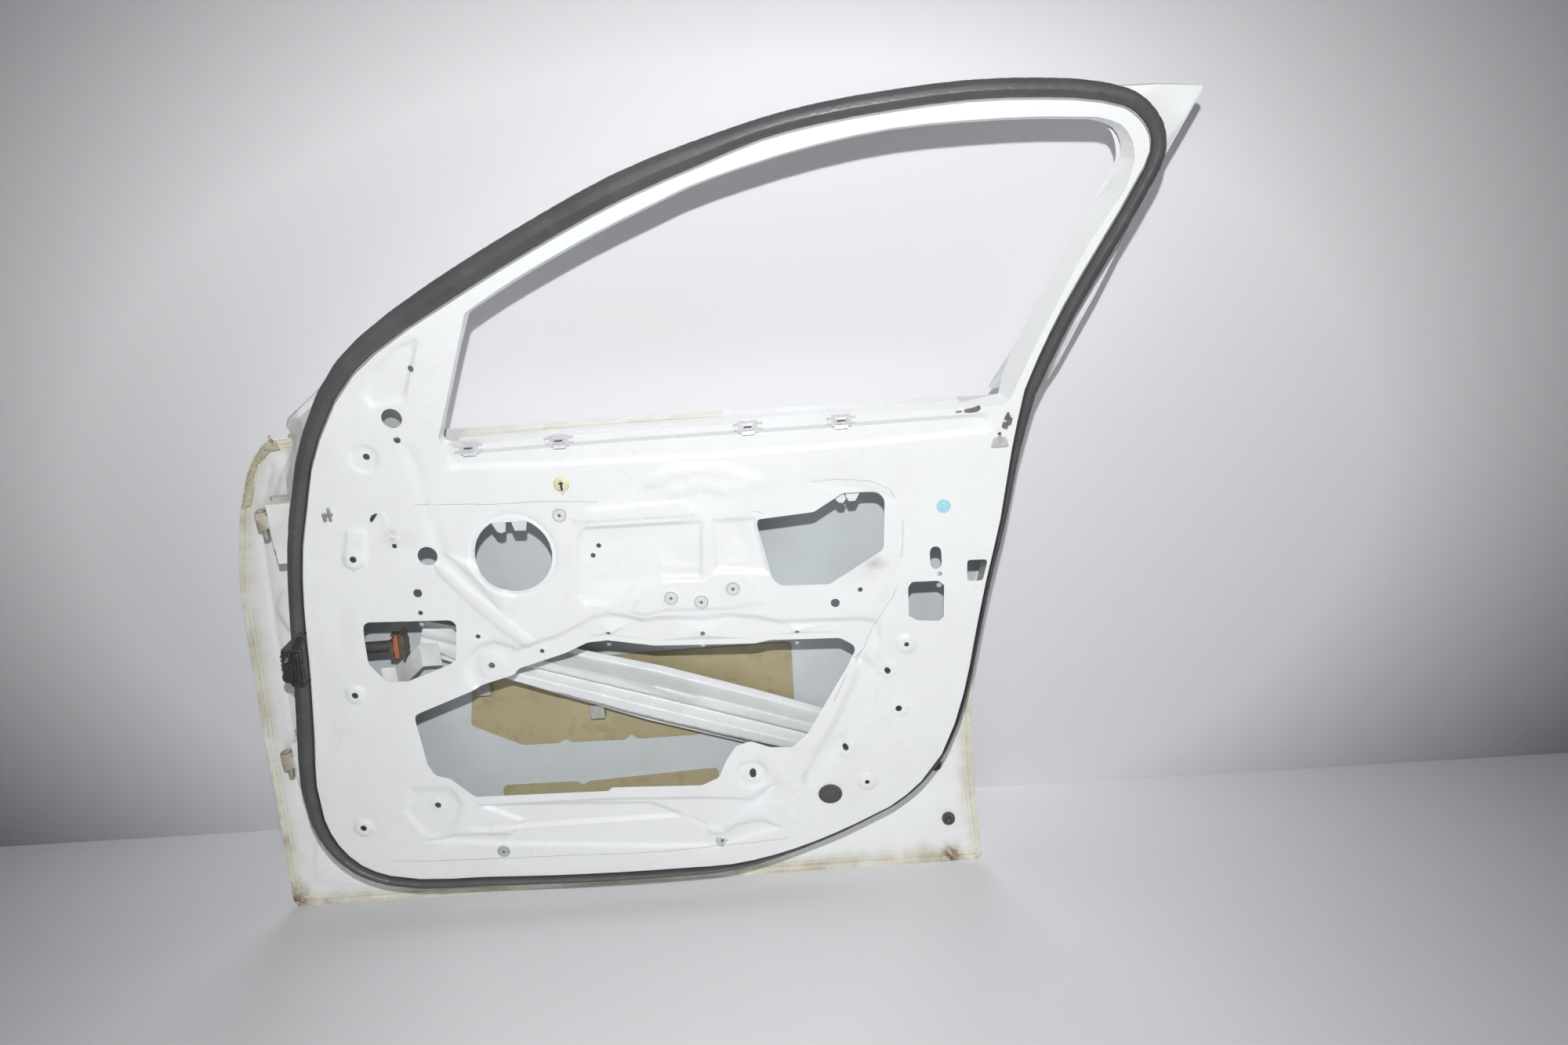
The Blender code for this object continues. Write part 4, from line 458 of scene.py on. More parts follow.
def eased(points, faces, rounds, hard=math.radians(50)):
    """Rounds the creases; hard edges and open edges only ease along themselves."""
    normals = face_normals(points, faces)
    edges, face_edges, counts = edge_table(faces)
    turns, _, _ = edge_turns(faces, normals, len(edges), face_edges)
    held = (turns > hard) | (counts == 1)
    rim = np.zeros(len(points), bool)
    rim[edges[held].ravel()] = True

    def mean(pairs, size):
        sums = np.zeros((size, 3))
        number = np.zeros(size)
        for one, other in ((0, 1), (1, 0)):
            for axis in range(3):
                sums[:, axis] += np.bincount(pairs[:, one], points[pairs[:, other], axis], size)
            number += np.bincount(pairs[:, one], minlength=size)
        return sums / np.maximum(number, 1)[:, None], number

    for turn in range(rounds):
        middle, _ = mean(edges, len(points))
        moved = points + 0.5 * (middle - points)
        moved[rim] = points[rim]
        if turn < 2:
            along, number = mean(edges[held], len(points))
            ahead = along - points
            flat = np.linalg.norm(ahead, axis=1) < 0.0008
            chosen = rim & (number == 2) & flat
            pull = 0.5 if turn % 2 == 0 else -0.52
            moved[chosen] = points[chosen] + pull * ahead[chosen]
        points = moved
    return points


def vertex_normals(points, faces):
    a, b, c = (points[faces[:, i]] for i in range(3))
    weighted = np.cross(b - a, c - a)
    normals = np.zeros_like(points)
    for side in range(3):
        for axis in range(3):
            normals[:, axis] += np.bincount(faces[:, side], weighted[:, axis], len(points))
    return normals / np.maximum(np.linalg.norm(normals, axis=1, keepdims=True), 1e-15)


def thickened(points, faces, sheet):
    """A closed sheet from its inboard side."""
    normals = vertex_normals(points, faces)
    size = len(points)
    _, face_edges, counts = edge_table(faces)
    pairs = np.stack([faces, np.roll(faces, -1, axis=1)], axis=2)
    a, b = pairs[counts[face_edges] == 1].T
    parts = [faces, faces[:, ::-1] + size, np.stack([a, a + size, b], 1),
             np.stack([b, a + size, b + size], 1)]
    return np.concatenate([points, points - normals * sheet]), np.concatenate(parts)


def thinned(piece, most):
    """Leaves out triangles where the piece is flattest until the most are left."""
    thin = piece.modifiers.new("thin", "DECIMATE")
    thin.ratio = most / len(piece.data.polygons)
    graph = bpy.context.evaluated_depsgraph_get()
    mesh = bpy.data.meshes.new_from_object(piece.evaluated_get(graph),
                                           preserve_all_data_layers=True, depsgraph=graph)
    piece.modifiers.clear()
    piece.data = mesh
    return mesh


def make_piece(name, points, faces, look, replaced=None, sharp=40.0, values=None,
               most=None):
    """A mesh piece that rides on the door."""
    mesh = bpy.data.meshes.new(name)
    mesh.from_pydata([tuple(p) for p in points], [], [tuple(int(i) for i in f) for f in faces])
    mesh.materials.append(LOOKS[look])
    for key, field in (values or {}).items():
        layer = mesh.attributes.new(key, "FLOAT", "POINT")
        layer.data.foreach_set("value", np.asarray(field, np.float32))
    piece = bpy.data.objects.new(name, mesh)
    bpy.context.scene.collection.objects.link(piece)
    if most:
        mesh = thinned(piece, most)
    mesh.shade_smooth()
    mesh.set_sharp_from_angle(angle=math.radians(sharp))
    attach(piece, "root")
    if replaced:
        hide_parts(replaced)
    return piece


def bump_shape(points, place, radius):
    """A soft rise from zero at the radius to one in the middle."""
    x, z = door_places(points)
    return falloff(np.hypot(x - place[0], z - place[1]), radius)


def line_away(points, route):
    """How far each point lies from a run of door places, as the trim side shows it."""
    x, z = door_places(points)
    best = np.full(len(points), 9.0)
    for (ax, az), (bx, bz) in zip(route, route[1:]):
        length = (bx - ax) ** 2 + (bz - az) ** 2
        share = np.clip(((x - ax) * (bx - ax) + (z - az) * (bz - az)) / length, 0, 1)
        best = np.minimum(best, np.hypot(x - ax - share * (bx - ax), z - az - share * (bz - az)))
    return best


def falloff(away, radius):
    """One at no distance, zero from the radius on."""
    return eased_share(1 - away / radius)


def marks(points, spots):
    """A soft field that is one at each listed place; each entry is x, z, radius, strength."""
    field = np.zeros(len(points))
    for x, z, radius, strength in spots:
        field = np.maximum(field, strength * bump_shape(points, (x, z), radius))
    return field


def ripples(points, height):
    """The slight waviness of a pressed sheet."""
    field = np.zeros(len(points))
    for _ in range(7):
        wave = rng.normal(0, 1, 2)
        wave = wave / np.linalg.norm(wave) * rng.uniform(12, 34)
        field += np.sin(points[:, 0] * wave[0] + points[:, 2] * wave[1] + rng.uniform(0, 6))
    return field / 7 * height


# Soft creases of the trim land, as runs of door places with a half width and a height
SOFT_FORMS = [
    (run(640, 640, 668, 652, 735, 648, 775, 630, 735, 622, 700, 634, 668, 624), 0.015, -0.0030),
    (run(350, 650, 350, 620), 0.010, -0.0018),
    (run(845, 623, 900, 612, 955, 588), 0.010, 0.0014),
    (run(957, 555, 957, 505, 935, 462), 0.010, 0.0014),
    (run(883, 357, 913, 413, 942, 456), 0.012, 0.0016),
    (run(740, 210, 760, 180, 748, 150), 0.018, 0.0024),
    (run(690, 120, 720, 140, 760, 150), 0.014, -0.0022),
    (run(150, 420, 150, 300), 0.030, 0.0014),
    (run(200, 500, 190, 440), 0.022, 0.0016),
    (run(335, 710, 345, 660, 350, 560), 0.014, 0.0016),
    (run(640, 520, 690, 516), 0.006, -0.0012),
    (run(728, 520, 756, 518), 0.006, -0.0012),
]
# Pressed fields of the trim land: outline, width of the edge, depth away from the viewer
PRESSED_FORMS = [
    (run(358, 404, 364, 417, 380, 428, 397, 432, 412, 427, 427, 419, 448, 424, 486, 434, 516, 446,
        535, 456, 559, 460, 581, 455, 605, 447, 630, 449, 685, 444, 720, 446, 756, 440, 788, 430,
        830, 428, 899, 426, 920, 419, 919, 395, 889, 360, 860, 375, 770, 380, 631, 380, 615, 368,
        545, 396, 510, 381, 424, 358, 385, 350, 360, 368, 354, 389), 0.011, 0.0050),
    (run(340, 549, 352, 548, 380, 512, 419, 469, 453, 429, 443, 421, 407, 455, 373, 496, 343,
        536), 0.010, -0.0024),
    (run(232, 607, 255, 605, 250, 570, 245, 557, 231, 550, 220, 559, 221, 572), 0.006, -0.0024),
    (run(532, 571, 544, 583, 697, 580, 689, 502, 637, 505, 602, 498, 585, 484, 561, 477, 530, 478,
        522, 490), 0.008, 0.0042),
    (run(713, 580, 767, 579, 779, 502, 746, 509, 710, 511), 0.008, 0.0036),
    (run(533, 599, 548, 610, 680, 612, 692, 599, 697, 590, 545, 593, 532, 590), 0.006, -0.0020),
    (run(637, 505, 695, 501, 710, 511, 746, 509, 760, 489, 772, 462, 720, 456, 637, 461, 606, 456,
        592, 462, 600, 477, 617, 493), 0.008, -0.0022),
    (run(338, 181, 581, 166, 619, 145, 653, 126, 661, 111, 680, 109, 696, 124, 737, 127, 759, 114,
        702, 99, 669, 91, 573, 98, 363, 118, 251, 130, 294, 137, 374, 132, 394, 151), 0.009,
        0.0038),
    (run(244, 217, 302, 212, 312, 186, 297, 155, 278, 138, 253, 140, 230, 183), 0.012, 0.0030),
    (run(904, 366, 917, 339, 907, 297, 873, 249, 839, 211, 809, 178, 802, 193, 825, 235, 852, 276,
        878, 326, 892, 367), 0.014, 0.0050),
]
# Round pads and dimples: place, radius, width of the edge, depth away from the viewer
ROUND_FORMS = [
    (0.728, 0.202, 0.021, 0.007, 0.0028),
    (0.196, 0.370, 0.013, 0.005, -0.0017), (0.166, 0.160, 0.013, 0.005, -0.0017),
    (0.955, 0.385, 0.013, 0.005, -0.0017), (0.889, 0.180, 0.013, 0.005, -0.0017),
    (0.276, 0.703, 0.018, 0.007, 0.0020), (0.928, 0.350, 0.012, 0.005, -0.0013),
    (0.940, 0.290, 0.012, 0.005, -0.0013), (0.863, 0.234, 0.012, 0.005, -0.0013),
    (0.714, 0.604, 0.013, 0.005, 0.0), (0.514, 0.605, 0.013, 0.005, 0.0010),
]
# Forms of the front flange, below the trim land
FLANGE_FORMS = [
    (run(71, 482, 81, 496, 106, 508, 130, 470, 112, 420, 73, 432, 64, 461), 0.011, -0.0050),
    (run(166, 721, 124, 665, 107, 636, 100, 545, 101, 531, 109, 512, 135, 510, 194, 719), 0.006,
        -0.0040),
    (run(52, 92, 61, 94, 91, 57, 116, 28, 111, 24, 48, 36, 46, 61), 0.005, -0.0014),
]
# Soft creases of the flange, as the forms above
FLANGE_LINES = [
    (run(115, 683, 88, 632, 77, 607, 67, 559, 60, 498, 52, 423, 49, 333, 45, 256, 38, 152), 0.007,
        0.0022),
    (run(1055, 303, 1043, 112, 1034, 12, 1012, 12, 875, 6), 0.005, -0.0014),
]


def circle(x, z, radius):
    turns = [math.tau * i / 28 for i in range(28)]
    return [(x + radius * math.cos(turn), z + radius * math.sin(turn)) for turn in turns]


def pressed(points, outline, width):
    """One inside a closed run of door places and zero outside, soft over the width."""
    x, z = door_places(points)
    loop = outline + outline[:1]
    within = np.zeros(len(points), bool)
    for (ax, az), (bx, bz) in zip(loop, loop[1:]):
        if az != bz:
            within ^= ((az > z) != (bz > z)) & (x < ax + (z - az) * (bx - ax) / (bz - az))
    away = line_away(points, loop)
    return eased_share(0.5 + np.where(within, away, -away) / width)


def guide_spots(outlines):
    """Places on the trim side along closed runs of door places."""
    spots = []
    for outline in outlines:
        for (ax, az), (bx, bz) in zip(outline, outline[1:] + outline[:1]):
            steps = max(1, int(math.hypot(bx - ax, bz - az) / 0.004))
            for share in np.linspace(0, 1, steps, endpoint=False):
                spot = to_row(ax + share * (bx - ax), -1.0, az + share * (bz - az))
                place = raw_tree.ray_cast(Vector(spot), Vector((0, 1, 0)))[0]
                if place:
                    spots.append(np.array(place))
    return spots


panel_points, panel_faces = trim_side(*node_arrays("inner_panel"), SHEET)
raw_tree = BVHTree.FromPolygons(panel_points.tolist(), panel_faces.tolist())
panel_points, panel_faces = round_holes(panel_points, panel_faces, 2)
form_spots = guide_spots([form[0] for form in PRESSED_FORMS + FLANGE_FORMS + FLANGE_LINES]
                         + [circle(*form[:3]) for form in ROUND_FORMS])
panel_points, panel_faces = split(panel_points, panel_faces, 0.0036, 0.013, extra=form_spots)
panel_points = eased(panel_points, panel_faces, 4)
outer_loop = max(open_loops(panel_faces), key=len)
outer_tree = KDTree(len(outer_loop))
for corner in outer_loop:
    outer_tree.insert(panel_points[corner], corner)
outer_tree.balance()
inward = np.array([outer_tree.find(point)[2] for point in panel_points])
depth_shift = ripples(panel_points, 0.0003)
for route, half_width, height in SOFT_FORMS:
    depth_shift += height * falloff(line_away(panel_points, route), half_width)
level = panel_points[:, 1] + DOOR_ORIGIN[1] < 0.012
for outline, width, height in PRESSED_FORMS:
    depth_shift += height * pressed(panel_points, outline, width) * level
for outline, width, height in FLANGE_FORMS:
    depth_shift += height * pressed(panel_points, outline, width)
for route, half_width, height in FLANGE_LINES:
    depth_shift += height * falloff(line_away(panel_points, route), half_width) * ~level
for x, z, radius, width, height in ROUND_FORMS:
    depth_shift += height * pressed(panel_points, circle(x, z, radius), width) * level
door_x, door_z = door_places(panel_points)
speaker_away = np.hypot(door_x - SPEAKER_HOLE[0], door_z - SPEAKER_HOLE[1])
depth_shift -= 0.0016 * falloff(np.abs(speaker_away - SPEAKER_RADIUS), 0.0045)
panel_points[:, 1] += depth_shift * np.clip(inward / 0.02 - 0.3, 0, 1)
outer_ring = line_away(panel_points, [(0.009, 0.0), (1.053, 0.003)])
hem_share = falloff(np.maximum(inward - 0.006, 0), 0.020) * (door_z < 0.73)
panel_dirt = 0.05 + 0.35 * falloff(outer_ring, 0.020) + 0.35 * hem_share
panel_dirt = np.maximum(panel_dirt, marks(panel_points, [
    (0.919, 0.508, 0.020, 0.9), (0.929, 0.500, 0.012, 0.8), (0.801, 0.188, 0.014, 0.5),
    (0.2911, 0.5915, 0.02, 0.45), (0.012, 0.02, 0.05, 0.7), (1.035, 0.02, 0.04, 0.6),
    (0.120, 0.672, 0.05, 0.45), (0.046, 0.245, 0.035, 0.5), (0.088, 0.610, 0.035, 0.6),
    (0.8825, 0.6459, 0.006, 1.0), (0.905, 0.495, 0.03, 0.35), (0.728, 0.203, 0.010, 0.5)]))
panel_aged = 0.14 * falloff(np.abs(door_x - 0.02), 0.09) + 0.10 * falloff(door_z, 0.06)
panel_aged = np.maximum(panel_aged, 0.75 * hem_share)
panel_aged = np.maximum(panel_aged, marks(panel_points, [
    (1.150, 0.872, 0.012, 0.8), (1.158, 0.885, 0.010, 0.6), (1.195, 0.955, 0.012, 0.5)]))
panel_rust = marks(panel_points, [
    (0.010, 0.006, 0.040, 1.0), (1.006, 0.012, 0.022, 1.0), (0.045, 0.240, 0.018, 0.45),
    (0.090, 0.610, 0.020, 0.35)])
solid_points, solid_faces = thickened(panel_points, panel_faces, SHEET)
twice = {"dirt": np.tile(panel_dirt, 2), "aged": np.tile(panel_aged, 2),
         "rust": np.tile(panel_rust, 2), "edge": np.tile(np.minimum(inward / 0.02, 9), 2)}
make_piece("inner_panel_sheet", solid_points, solid_faces, "paint", "inner_panel", 45.0,
           twice, most=MOST_TRIANGLES)
panel_tree = BVHTree.FromPolygons(panel_points.tolist(), panel_faces.tolist())


def land_place(x, z):
    """Place and outward direction of the trim side at a door place."""
    place, normal, _, _ = panel_tree.ray_cast(Vector(to_row(x, -1.0, z)), Vector((0, 1, 0)))
    if place is None:
        return None, None
    return place, normal if normal.y < 0 else -normal


def finished(node, look, near, far, rounds, sharp=40.0, hard=50.0, values=None,
             reshape=None):
    """A finer copy of a closed node that takes its place."""
    points, faces = node_arrays(node)
    points, faces = split(points, faces, near, far, math.radians(4.0))
    points = eased(points, faces, rounds, hard=math.radians(hard))
    if reshape:
        points = reshape(points)
    fields = values(points, faces) if values else None
    make_piece(node + "_finished", points, faces, look, node, sharp, fields)


def hem_away(points):
    """How far each point lies from the outline of the panel, as the trim side shows it."""
    flat = KDTree(len(outer_loop))
    for corner in outer_loop:
        x, _, z = panel_points[corner]
        flat.insert((x, 0, z), corner)
    flat.balance()
    return np.array([flat.find((x, 0, z))[2] for x, _, z in points])


def skin_fields(points, faces):
    """Aged paint on the folded hem, dirt at its corners, and a primer grey darkened by painted shade
    on the cavity side of the skin.
    """
    normals = vertex_normals(points, faces)
    x, z = door_places(points)
    away = hem_away(points)
    hem = (normals[:, 1] < -0.2) & (away < 0.0165) & (z < 0.7) & ((x < 0.16) | (z < 0.3))
    aged = np.where(hem, 0.85, 0.0)
    dirt = np.where(hem, 0.5, 0.10)
    dirt = np.maximum(dirt, marks(points, [(1.03, 0.004, 0.05, 0.8), (0.02, 0.01, 0.06, 0.8)]))
    rust = marks(points, [(0.010, 0.004, 0.042, 1.0), (1.050, 0.004, 0.012, 0.8),
                          (1.006, 0.008, 0.024, 1.0), (0.006, 0.10, 0.010, 0.5),
                          (0.060, 0.004, 0.010, 0.5)])
    outside = normals[:, 1] > 0.5
    rust = np.where(outside & (away > 0.012), 0.0, rust)
    # The cavity side of the skin away from the hem and below the rail gets primer grey with painted
    # shade of the cavity
    primed = np.where(outside | hem | (away < 0.017) | (z > 0.655), 0.0, 1.0)
    dirt = np.where(outside, 0.04, dirt)
    return {"dirt": dirt, "aged": aged, "rust": rust, "primed": primed,
            "edge": np.minimum(away / 0.02, 9)}


finished("outer_panel", "paint", 0.005, 0.016, 3, values=skin_fields)


def clean_fields(amount, aged=0.0):
    def fields(points, faces):
        size = len(points)
        return {"dirt": np.full(size, amount), "aged": np.full(size, aged), "rust": np.zeros(size)}
    return fields


finished("frame_outer", "paint", 0.004, 0.016, 3, values=clean_fields(0.03))


def rail_fields(points, faces):
    """A thin yellowed line along the front half of the waist rail."""
    fields = clean_fields(0.10)(points, faces)
    top = points[:, 2] > points[:, 2].max() - 0.016
    fields["aged"] = np.where(top & (points[:, 0] < 0.62), 0.55, 0.05)
    return fields


finished("waist_rail_inner", "paint", 0.005, 0.020, 2, values=clean_fields(0.10))
finished("waist_rail_outer", "paint", 0.005, 0.016, 2, values=rail_fields)


def beam_forms(points):
    """The long lens pressed into the middle of the beam."""
    away = line_away(points, [(0.470, 0.378), (0.552, 0.352), (0.650, 0.304)])
    lens = falloff(away, 0.016)
    moved = points.copy()
    moved[:, 1] -= 0.0045 * lens * (points[:, 1] < points[:, 1].max() - 0.006)
    return moved


finished("impact_beam", "beam", 0.004, 0.009, 9, hard=75.0, values=clean_fields(0.12),
         reshape=beam_forms)
for node in ("beam_bracket_front", "beam_bracket_rear"):
    finished(node, "beam", 0.005, 0.014, 2, values=clean_fields(0.3))
for node in ("hinge_reinforcement", "latch_reinforcement"):
    finished(node, "paint", 0.006, 0.020, 2, values=clean_fields(0.4, 0.1))

# Angles about the middle of the seal, and how much of its width is left there
SEAL_MIDDLE = (0.55, 0.40)
SEAL_SHARES = [(-180, 0.88), (-135, 0.95), (-110, 0.80), (-80, 0.72), (-60, 0.62), (-40, 0.48),
               (-15, 0.45), (5, 0.50), (20, 0.72), (35, 0.95), (50, 1.0), (105, 1.0),
               (125, 0.80), (142, 0.72), (160, 0.74), (180, 0.88)]


def narrowed(points):
    """The seal squeezed towards its inner edge, as the photograph shows it at each side."""
    x, z = door_places(points)
    x, z = x - SEAL_MIDDLE[0], z - SEAL_MIDDLE[1]
    angle = np.degrees(np.arctan2(z, x))
    away = np.hypot(x, z)
    bins = ((angle + 180) // 2).astype(int) % 180
    inner = np.array([away[bins == number].min() if (bins == number).any() else 9.0
                      for number in range(180)])
    steps = np.arange(-179, 181, 2)
    base = np.interp(angle, steps, inner, period=360)
    share = np.interp(angle, *zip(*SEAL_SHARES))
    scale = (base + (away - base) * share) / away
    moved = points.copy()
    moved[:, 0] = x * scale + SEAL_MIDDLE[0] - DOOR_ORIGIN[0]
    moved[:, 2] = z * scale + SEAL_MIDDLE[1] - DOOR_ORIGIN[2]
    return moved


finished("door_seal", "rubber", 0.0045, 0.012, 3, sharp=60.0, hard=80.0,
         reshape=narrowed)
for node in ("damping_pad_main", "damping_pad_lower"):
    finished(node, "pad", 0.006, 0.014, 2, hard=60.0)


def softened(piece, width, sharp=35.0):
    """Joins doubled corners, turns faces outward and softens the edges."""
    mesh = bmesh.new()
    mesh.from_mesh(piece.data)
    bmesh.ops.remove_doubles(mesh, verts=mesh.verts, dist=0.000005)
    bmesh.ops.dissolve_limit(mesh, angle_limit=math.radians(1), verts=mesh.verts,
                             edges=mesh.edges)
    bmesh.ops.recalc_face_normals(mesh, faces=mesh.faces)
    mesh.to_mesh(piece.data)
    mesh.free()
    if width:
        bevel = piece.modifiers.new("soft_edges", "BEVEL")
        bevel.width = width
        bevel.segments = 2
        bevel.limit_method = "ANGLE"
        bevel.angle_limit = math.radians(sharp)
    return piece


def small_piece(node, look, width, sharp=35.0, values=None):
    """A small piece with softened edges."""
    points, faces = node_arrays(node)
    fields = values(points, faces) if values else None
    piece = make_piece(node + "_finished", points, faces, look, node, sharp, fields)
    return softened(piece, width, sharp)


def ring_faces(rings, sides):
    """Four-sided faces between rings of corners."""
    return [(ring * sides + i, ring * sides + (i + 1) % sides,
             (ring + 1) * sides + (i + 1) % sides, (ring + 1) * sides + i)
            for ring in range(rings - 1) for i in range(sides)]


class Shape:
    """Parts of a small piece in its own axes: u along the door, v up, w out of the sheet."""

    def __init__(self):
        self.points = []
        self.faces = []

    def add(self, points, faces):
        start = len(self.points)
        self.points.extend(points)
        self.faces.extend(tuple(start + i for i in face) for face in faces)
        return self

    def plate(self, outline, low, high, lean=0.0):
        """A plate between two heights; lean is how much w falls for each unit below its top."""
        top = max(v for _, v in outline)
        count = len(outline)
        points = [(u, v, w - lean * (top - v)) for w in (low, high) for u, v in outline]
        faces = [tuple(range(count - 1, -1, -1)), tuple(range(count, 2 * count))]
        for i in range(count):
            j = (i + 1) % count
            faces.append((i, j, j + count, i + count))
        return self.add(points, faces)

    def block(self, *corners):
        """Blocks, each from its lowest and highest corner."""
        for (u0, v0, w0), (u1, v1, w1) in zip(corners[::2], corners[1::2]):
            self.plate([(u0, v0), (u1, v0), (u1, v1), (u0, v1)], w0, w1)
        return self

    def turned(self, profile, centre=(0.0, 0.0), sides=32, squash=1.0):
        """A turned form from pairs of radius and height."""
        points = []
        for radius, height in profile:
            for i in range(sides):
                angle = math.tau * i / sides
                points.append((centre[0] + radius * math.cos(angle),
                               centre[1] + squash * radius * math.sin(angle), height))
        faces = ring_faces(len(profile), sides)
        if profile[0][0] > 0:
            faces.append(tuple(range(sides - 1, -1, -1)))
        last = (len(profile) - 1) * sides
        if profile[-1][0] > 0:
            faces.append(tuple(range(last, last + sides)))
        return self.add(points, faces)

    def rod(self, route, radius, sides=8):
        """A rod along a run of places."""
        spots = [Vector(spot) for spot in route]
        points = []
        for number, spot in enumerate(spots):
            ahead = spots[min(number + 1, len(spots) - 1)] - spots[max(number - 1, 0)]
            one = ahead.orthogonal().normalized() if number == 0 else one
            one = (one - ahead * one.dot(ahead) / ahead.dot(ahead)).normalized()
            two = ahead.cross(one).normalized()
            for i in range(sides):
                angle = math.tau * i / sides
                points.append(tuple(spot + radius * (math.cos(angle) * one
                                                     + math.sin(angle) * two)))
        ends = [tuple(range(sides - 1, -1, -1)),
                tuple(range(len(points) - sides, len(points)))]
        return self.add(points, ends + ring_faces(len(spots), sides))

    def piece(self, name, centre, out, look, slot, replaced=None, width=0.0003, sharp=35.0,
              turn=0.0):
        """The finished piece, with its origin at a place and w along the outward direction."""
        w = Vector(out).normalized()
        u = Vector((math.cos(turn), 0, math.sin(turn)))
        u = (u - w * u.dot(w)).normalized()
        v = w.cross(u)
        spots = [Vector(centre) + u * p[0] + v * p[1] + w * p[2] for p in self.points]
        piece = make_piece(name, spots, self.faces, look, replaced, sharp)
        return softened(piece, width, sharp)


def node_middle(node):
    """The middle of a node as a door place, along the door and up."""
    low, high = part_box(node)
    middle = (np.array(low) + np.array(high)) / 2 + DOOR_ORIGIN
    return float(middle[0]), float(middle[2])


small_piece("foam_block_front", "foam", 0.0015)
small_piece("foam_block_rear", "foam", 0.0015)
small_piece("harness_sleeve", "rubber", 0.0004)

# Hinges


def hinge_fields(points, faces):
    """White paint on the leaf, stained knuckle."""
    near = points[:, 1] + DOOR_ORIGIN[1] > 0.058
    size = len(points)
    return {"dirt": np.where(near, 0.75, 0.20), "aged": np.where(near, 0.8, 0.10),
            "rust": np.where(near, 0.22, 0.0)}


for side in ("upper", "lower"):
    small_piece("hinge_leaf_" + side, "paint", 0.0006, values=hinge_fields)
    small_piece("hinge_pin_" + side, "steel", 0.0004)
    for number in (1, 2):
        small_piece(f"hinge_bolt_{side}_{number}", "steel", 0.0004)

# Fasteners of the trim side

for number in range(1, 7):
    place, out = land_place(*node_middle(f"rivet_nut_{number}"))
    nut = Shape().turned(run(8.6, -0.2, 8.6, 0.7, 8.1, 1.2, 6.9, 1.2, 6.6, 0.8, 6.1, 0.8, 5.8,
            1.3, 4, 1.3, 3.7, 0.9, 3.1, 0.9, 2.8, 1.4, 1.7, 1.4, 1.5, -3, 0, -3))
    nut.piece(f"rivet_nut_{number}_finished", place, out, "nut_flat" if number > 4 else "nut", "zinc",
              f"rivet_nut_{number}", 0.0)
    # A dark disc over the nut's hole: painted shade of the threaded hole
    bore_shade = Shape().turned(run(2.2, 0, 2.2, 1.45, 0, 1.46), sides=20)
    bore_shade.piece(f"rivet_nut_{number}_bore", place, out, "grey_dark", "zinc", None, 0.0)
    rim = Shape().turned(run(8.3, 0, 8.3, 1.25, 9, 0.6, 9, 0))
    rim.piece(f"rivet_nut_{number}_rim", place, out, "grey_rim", "zinc", None, 0.0)
for number in range(1, 5):
    place, out = land_place(*node_middle(f"waist_clip_{number}"))
    clip = Shape().block((-0.0122, -0.0088, 0.0004), (0.0122, 0.0078, 0.0015))
    for way in (-1, 1):
        for low, high in ((0.0022, 0.0052), (-0.0052, -0.0026)):
            clip.block((min(way * 0.0105, way * 0.0185), low, 0.0008),
                       (max(way * 0.0105, way * 0.0185), high, 0.0020))
        clip.block((way * 0.0178 - 0.0008, 0.0022, 0.0006), (way * 0.0178 + 0.0008, 0.0052, 0.0036))
        clip.block((way * 0.0072 - 0.0007, -0.0040, 0.0010), (way * 0.0072 + 0.0007, 0.0036, 0.0032))
    clip.block((-0.0066, 0.0012, 0.0010), (0.0066, 0.0026, 0.0046))
    clip.block((-0.0066, -0.0030, 0.0036), (0.0066, 0.0024, 0.0046))
    clip.block((-0.0066, -0.0042, 0.0010), (0.0066, -0.0030, 0.0046))
    clip.plate(run(-8, -10.5, 8, -10.5, 8, -7.2, -8, -7.2), 0.0010, 0.0019, -0.55)
    clip.piece(f"waist_clip_{number}_finished", place, out, "clip", "steel",
               f"waist_clip_{number}", 0.0002)
    # A thin black strip on top of the clip: painted shade of its slot
    slot = Shape().block((-0.0050, -0.0008, 0.0046), (0.0050, 0.0010, 0.00475))
    slot.piece(f"waist_clip_{number}_slot", place, out, "plastic", "steel", None, 0.0)

place, out = land_place(*node_middle("grommet_yellow"))
grommet = Shape().turned(run(9.8, -0.2, 10.4, 0.4, 10.3, 1.3, 9.4, 2, 7, 2.9, 4.5, 3.4, 0, 3.6),
        sides=40)
grommet.piece("grommet_yellow_finished", place, out, "yellow", "yellow", "grommet_yellow", 0.0)
# A black cross standing in the grommet's slit: painted shade of the slit
slit = Shape().block((-0.0014, -0.0075, 0.0020), (0.0014, 0.0065, 0.0040))
slit.block((-0.0032, 0.0010, 0.0026), (0.0032, 0.0030, 0.0042))
slit.piece("grommet_slot", place, out, "plastic", "yellow", None, 0.0003)
prong = Shape().block((-0.0016, -0.0135, 0.0008), (0.0016, -0.0070, 0.0034))
prong.block((-0.0020, 0.0045, 0.0020), (0.0020, 0.0072, 0.0044))
prong.piece("grommet_prong", place, out, "clip", "zinc", None, 0.0004)

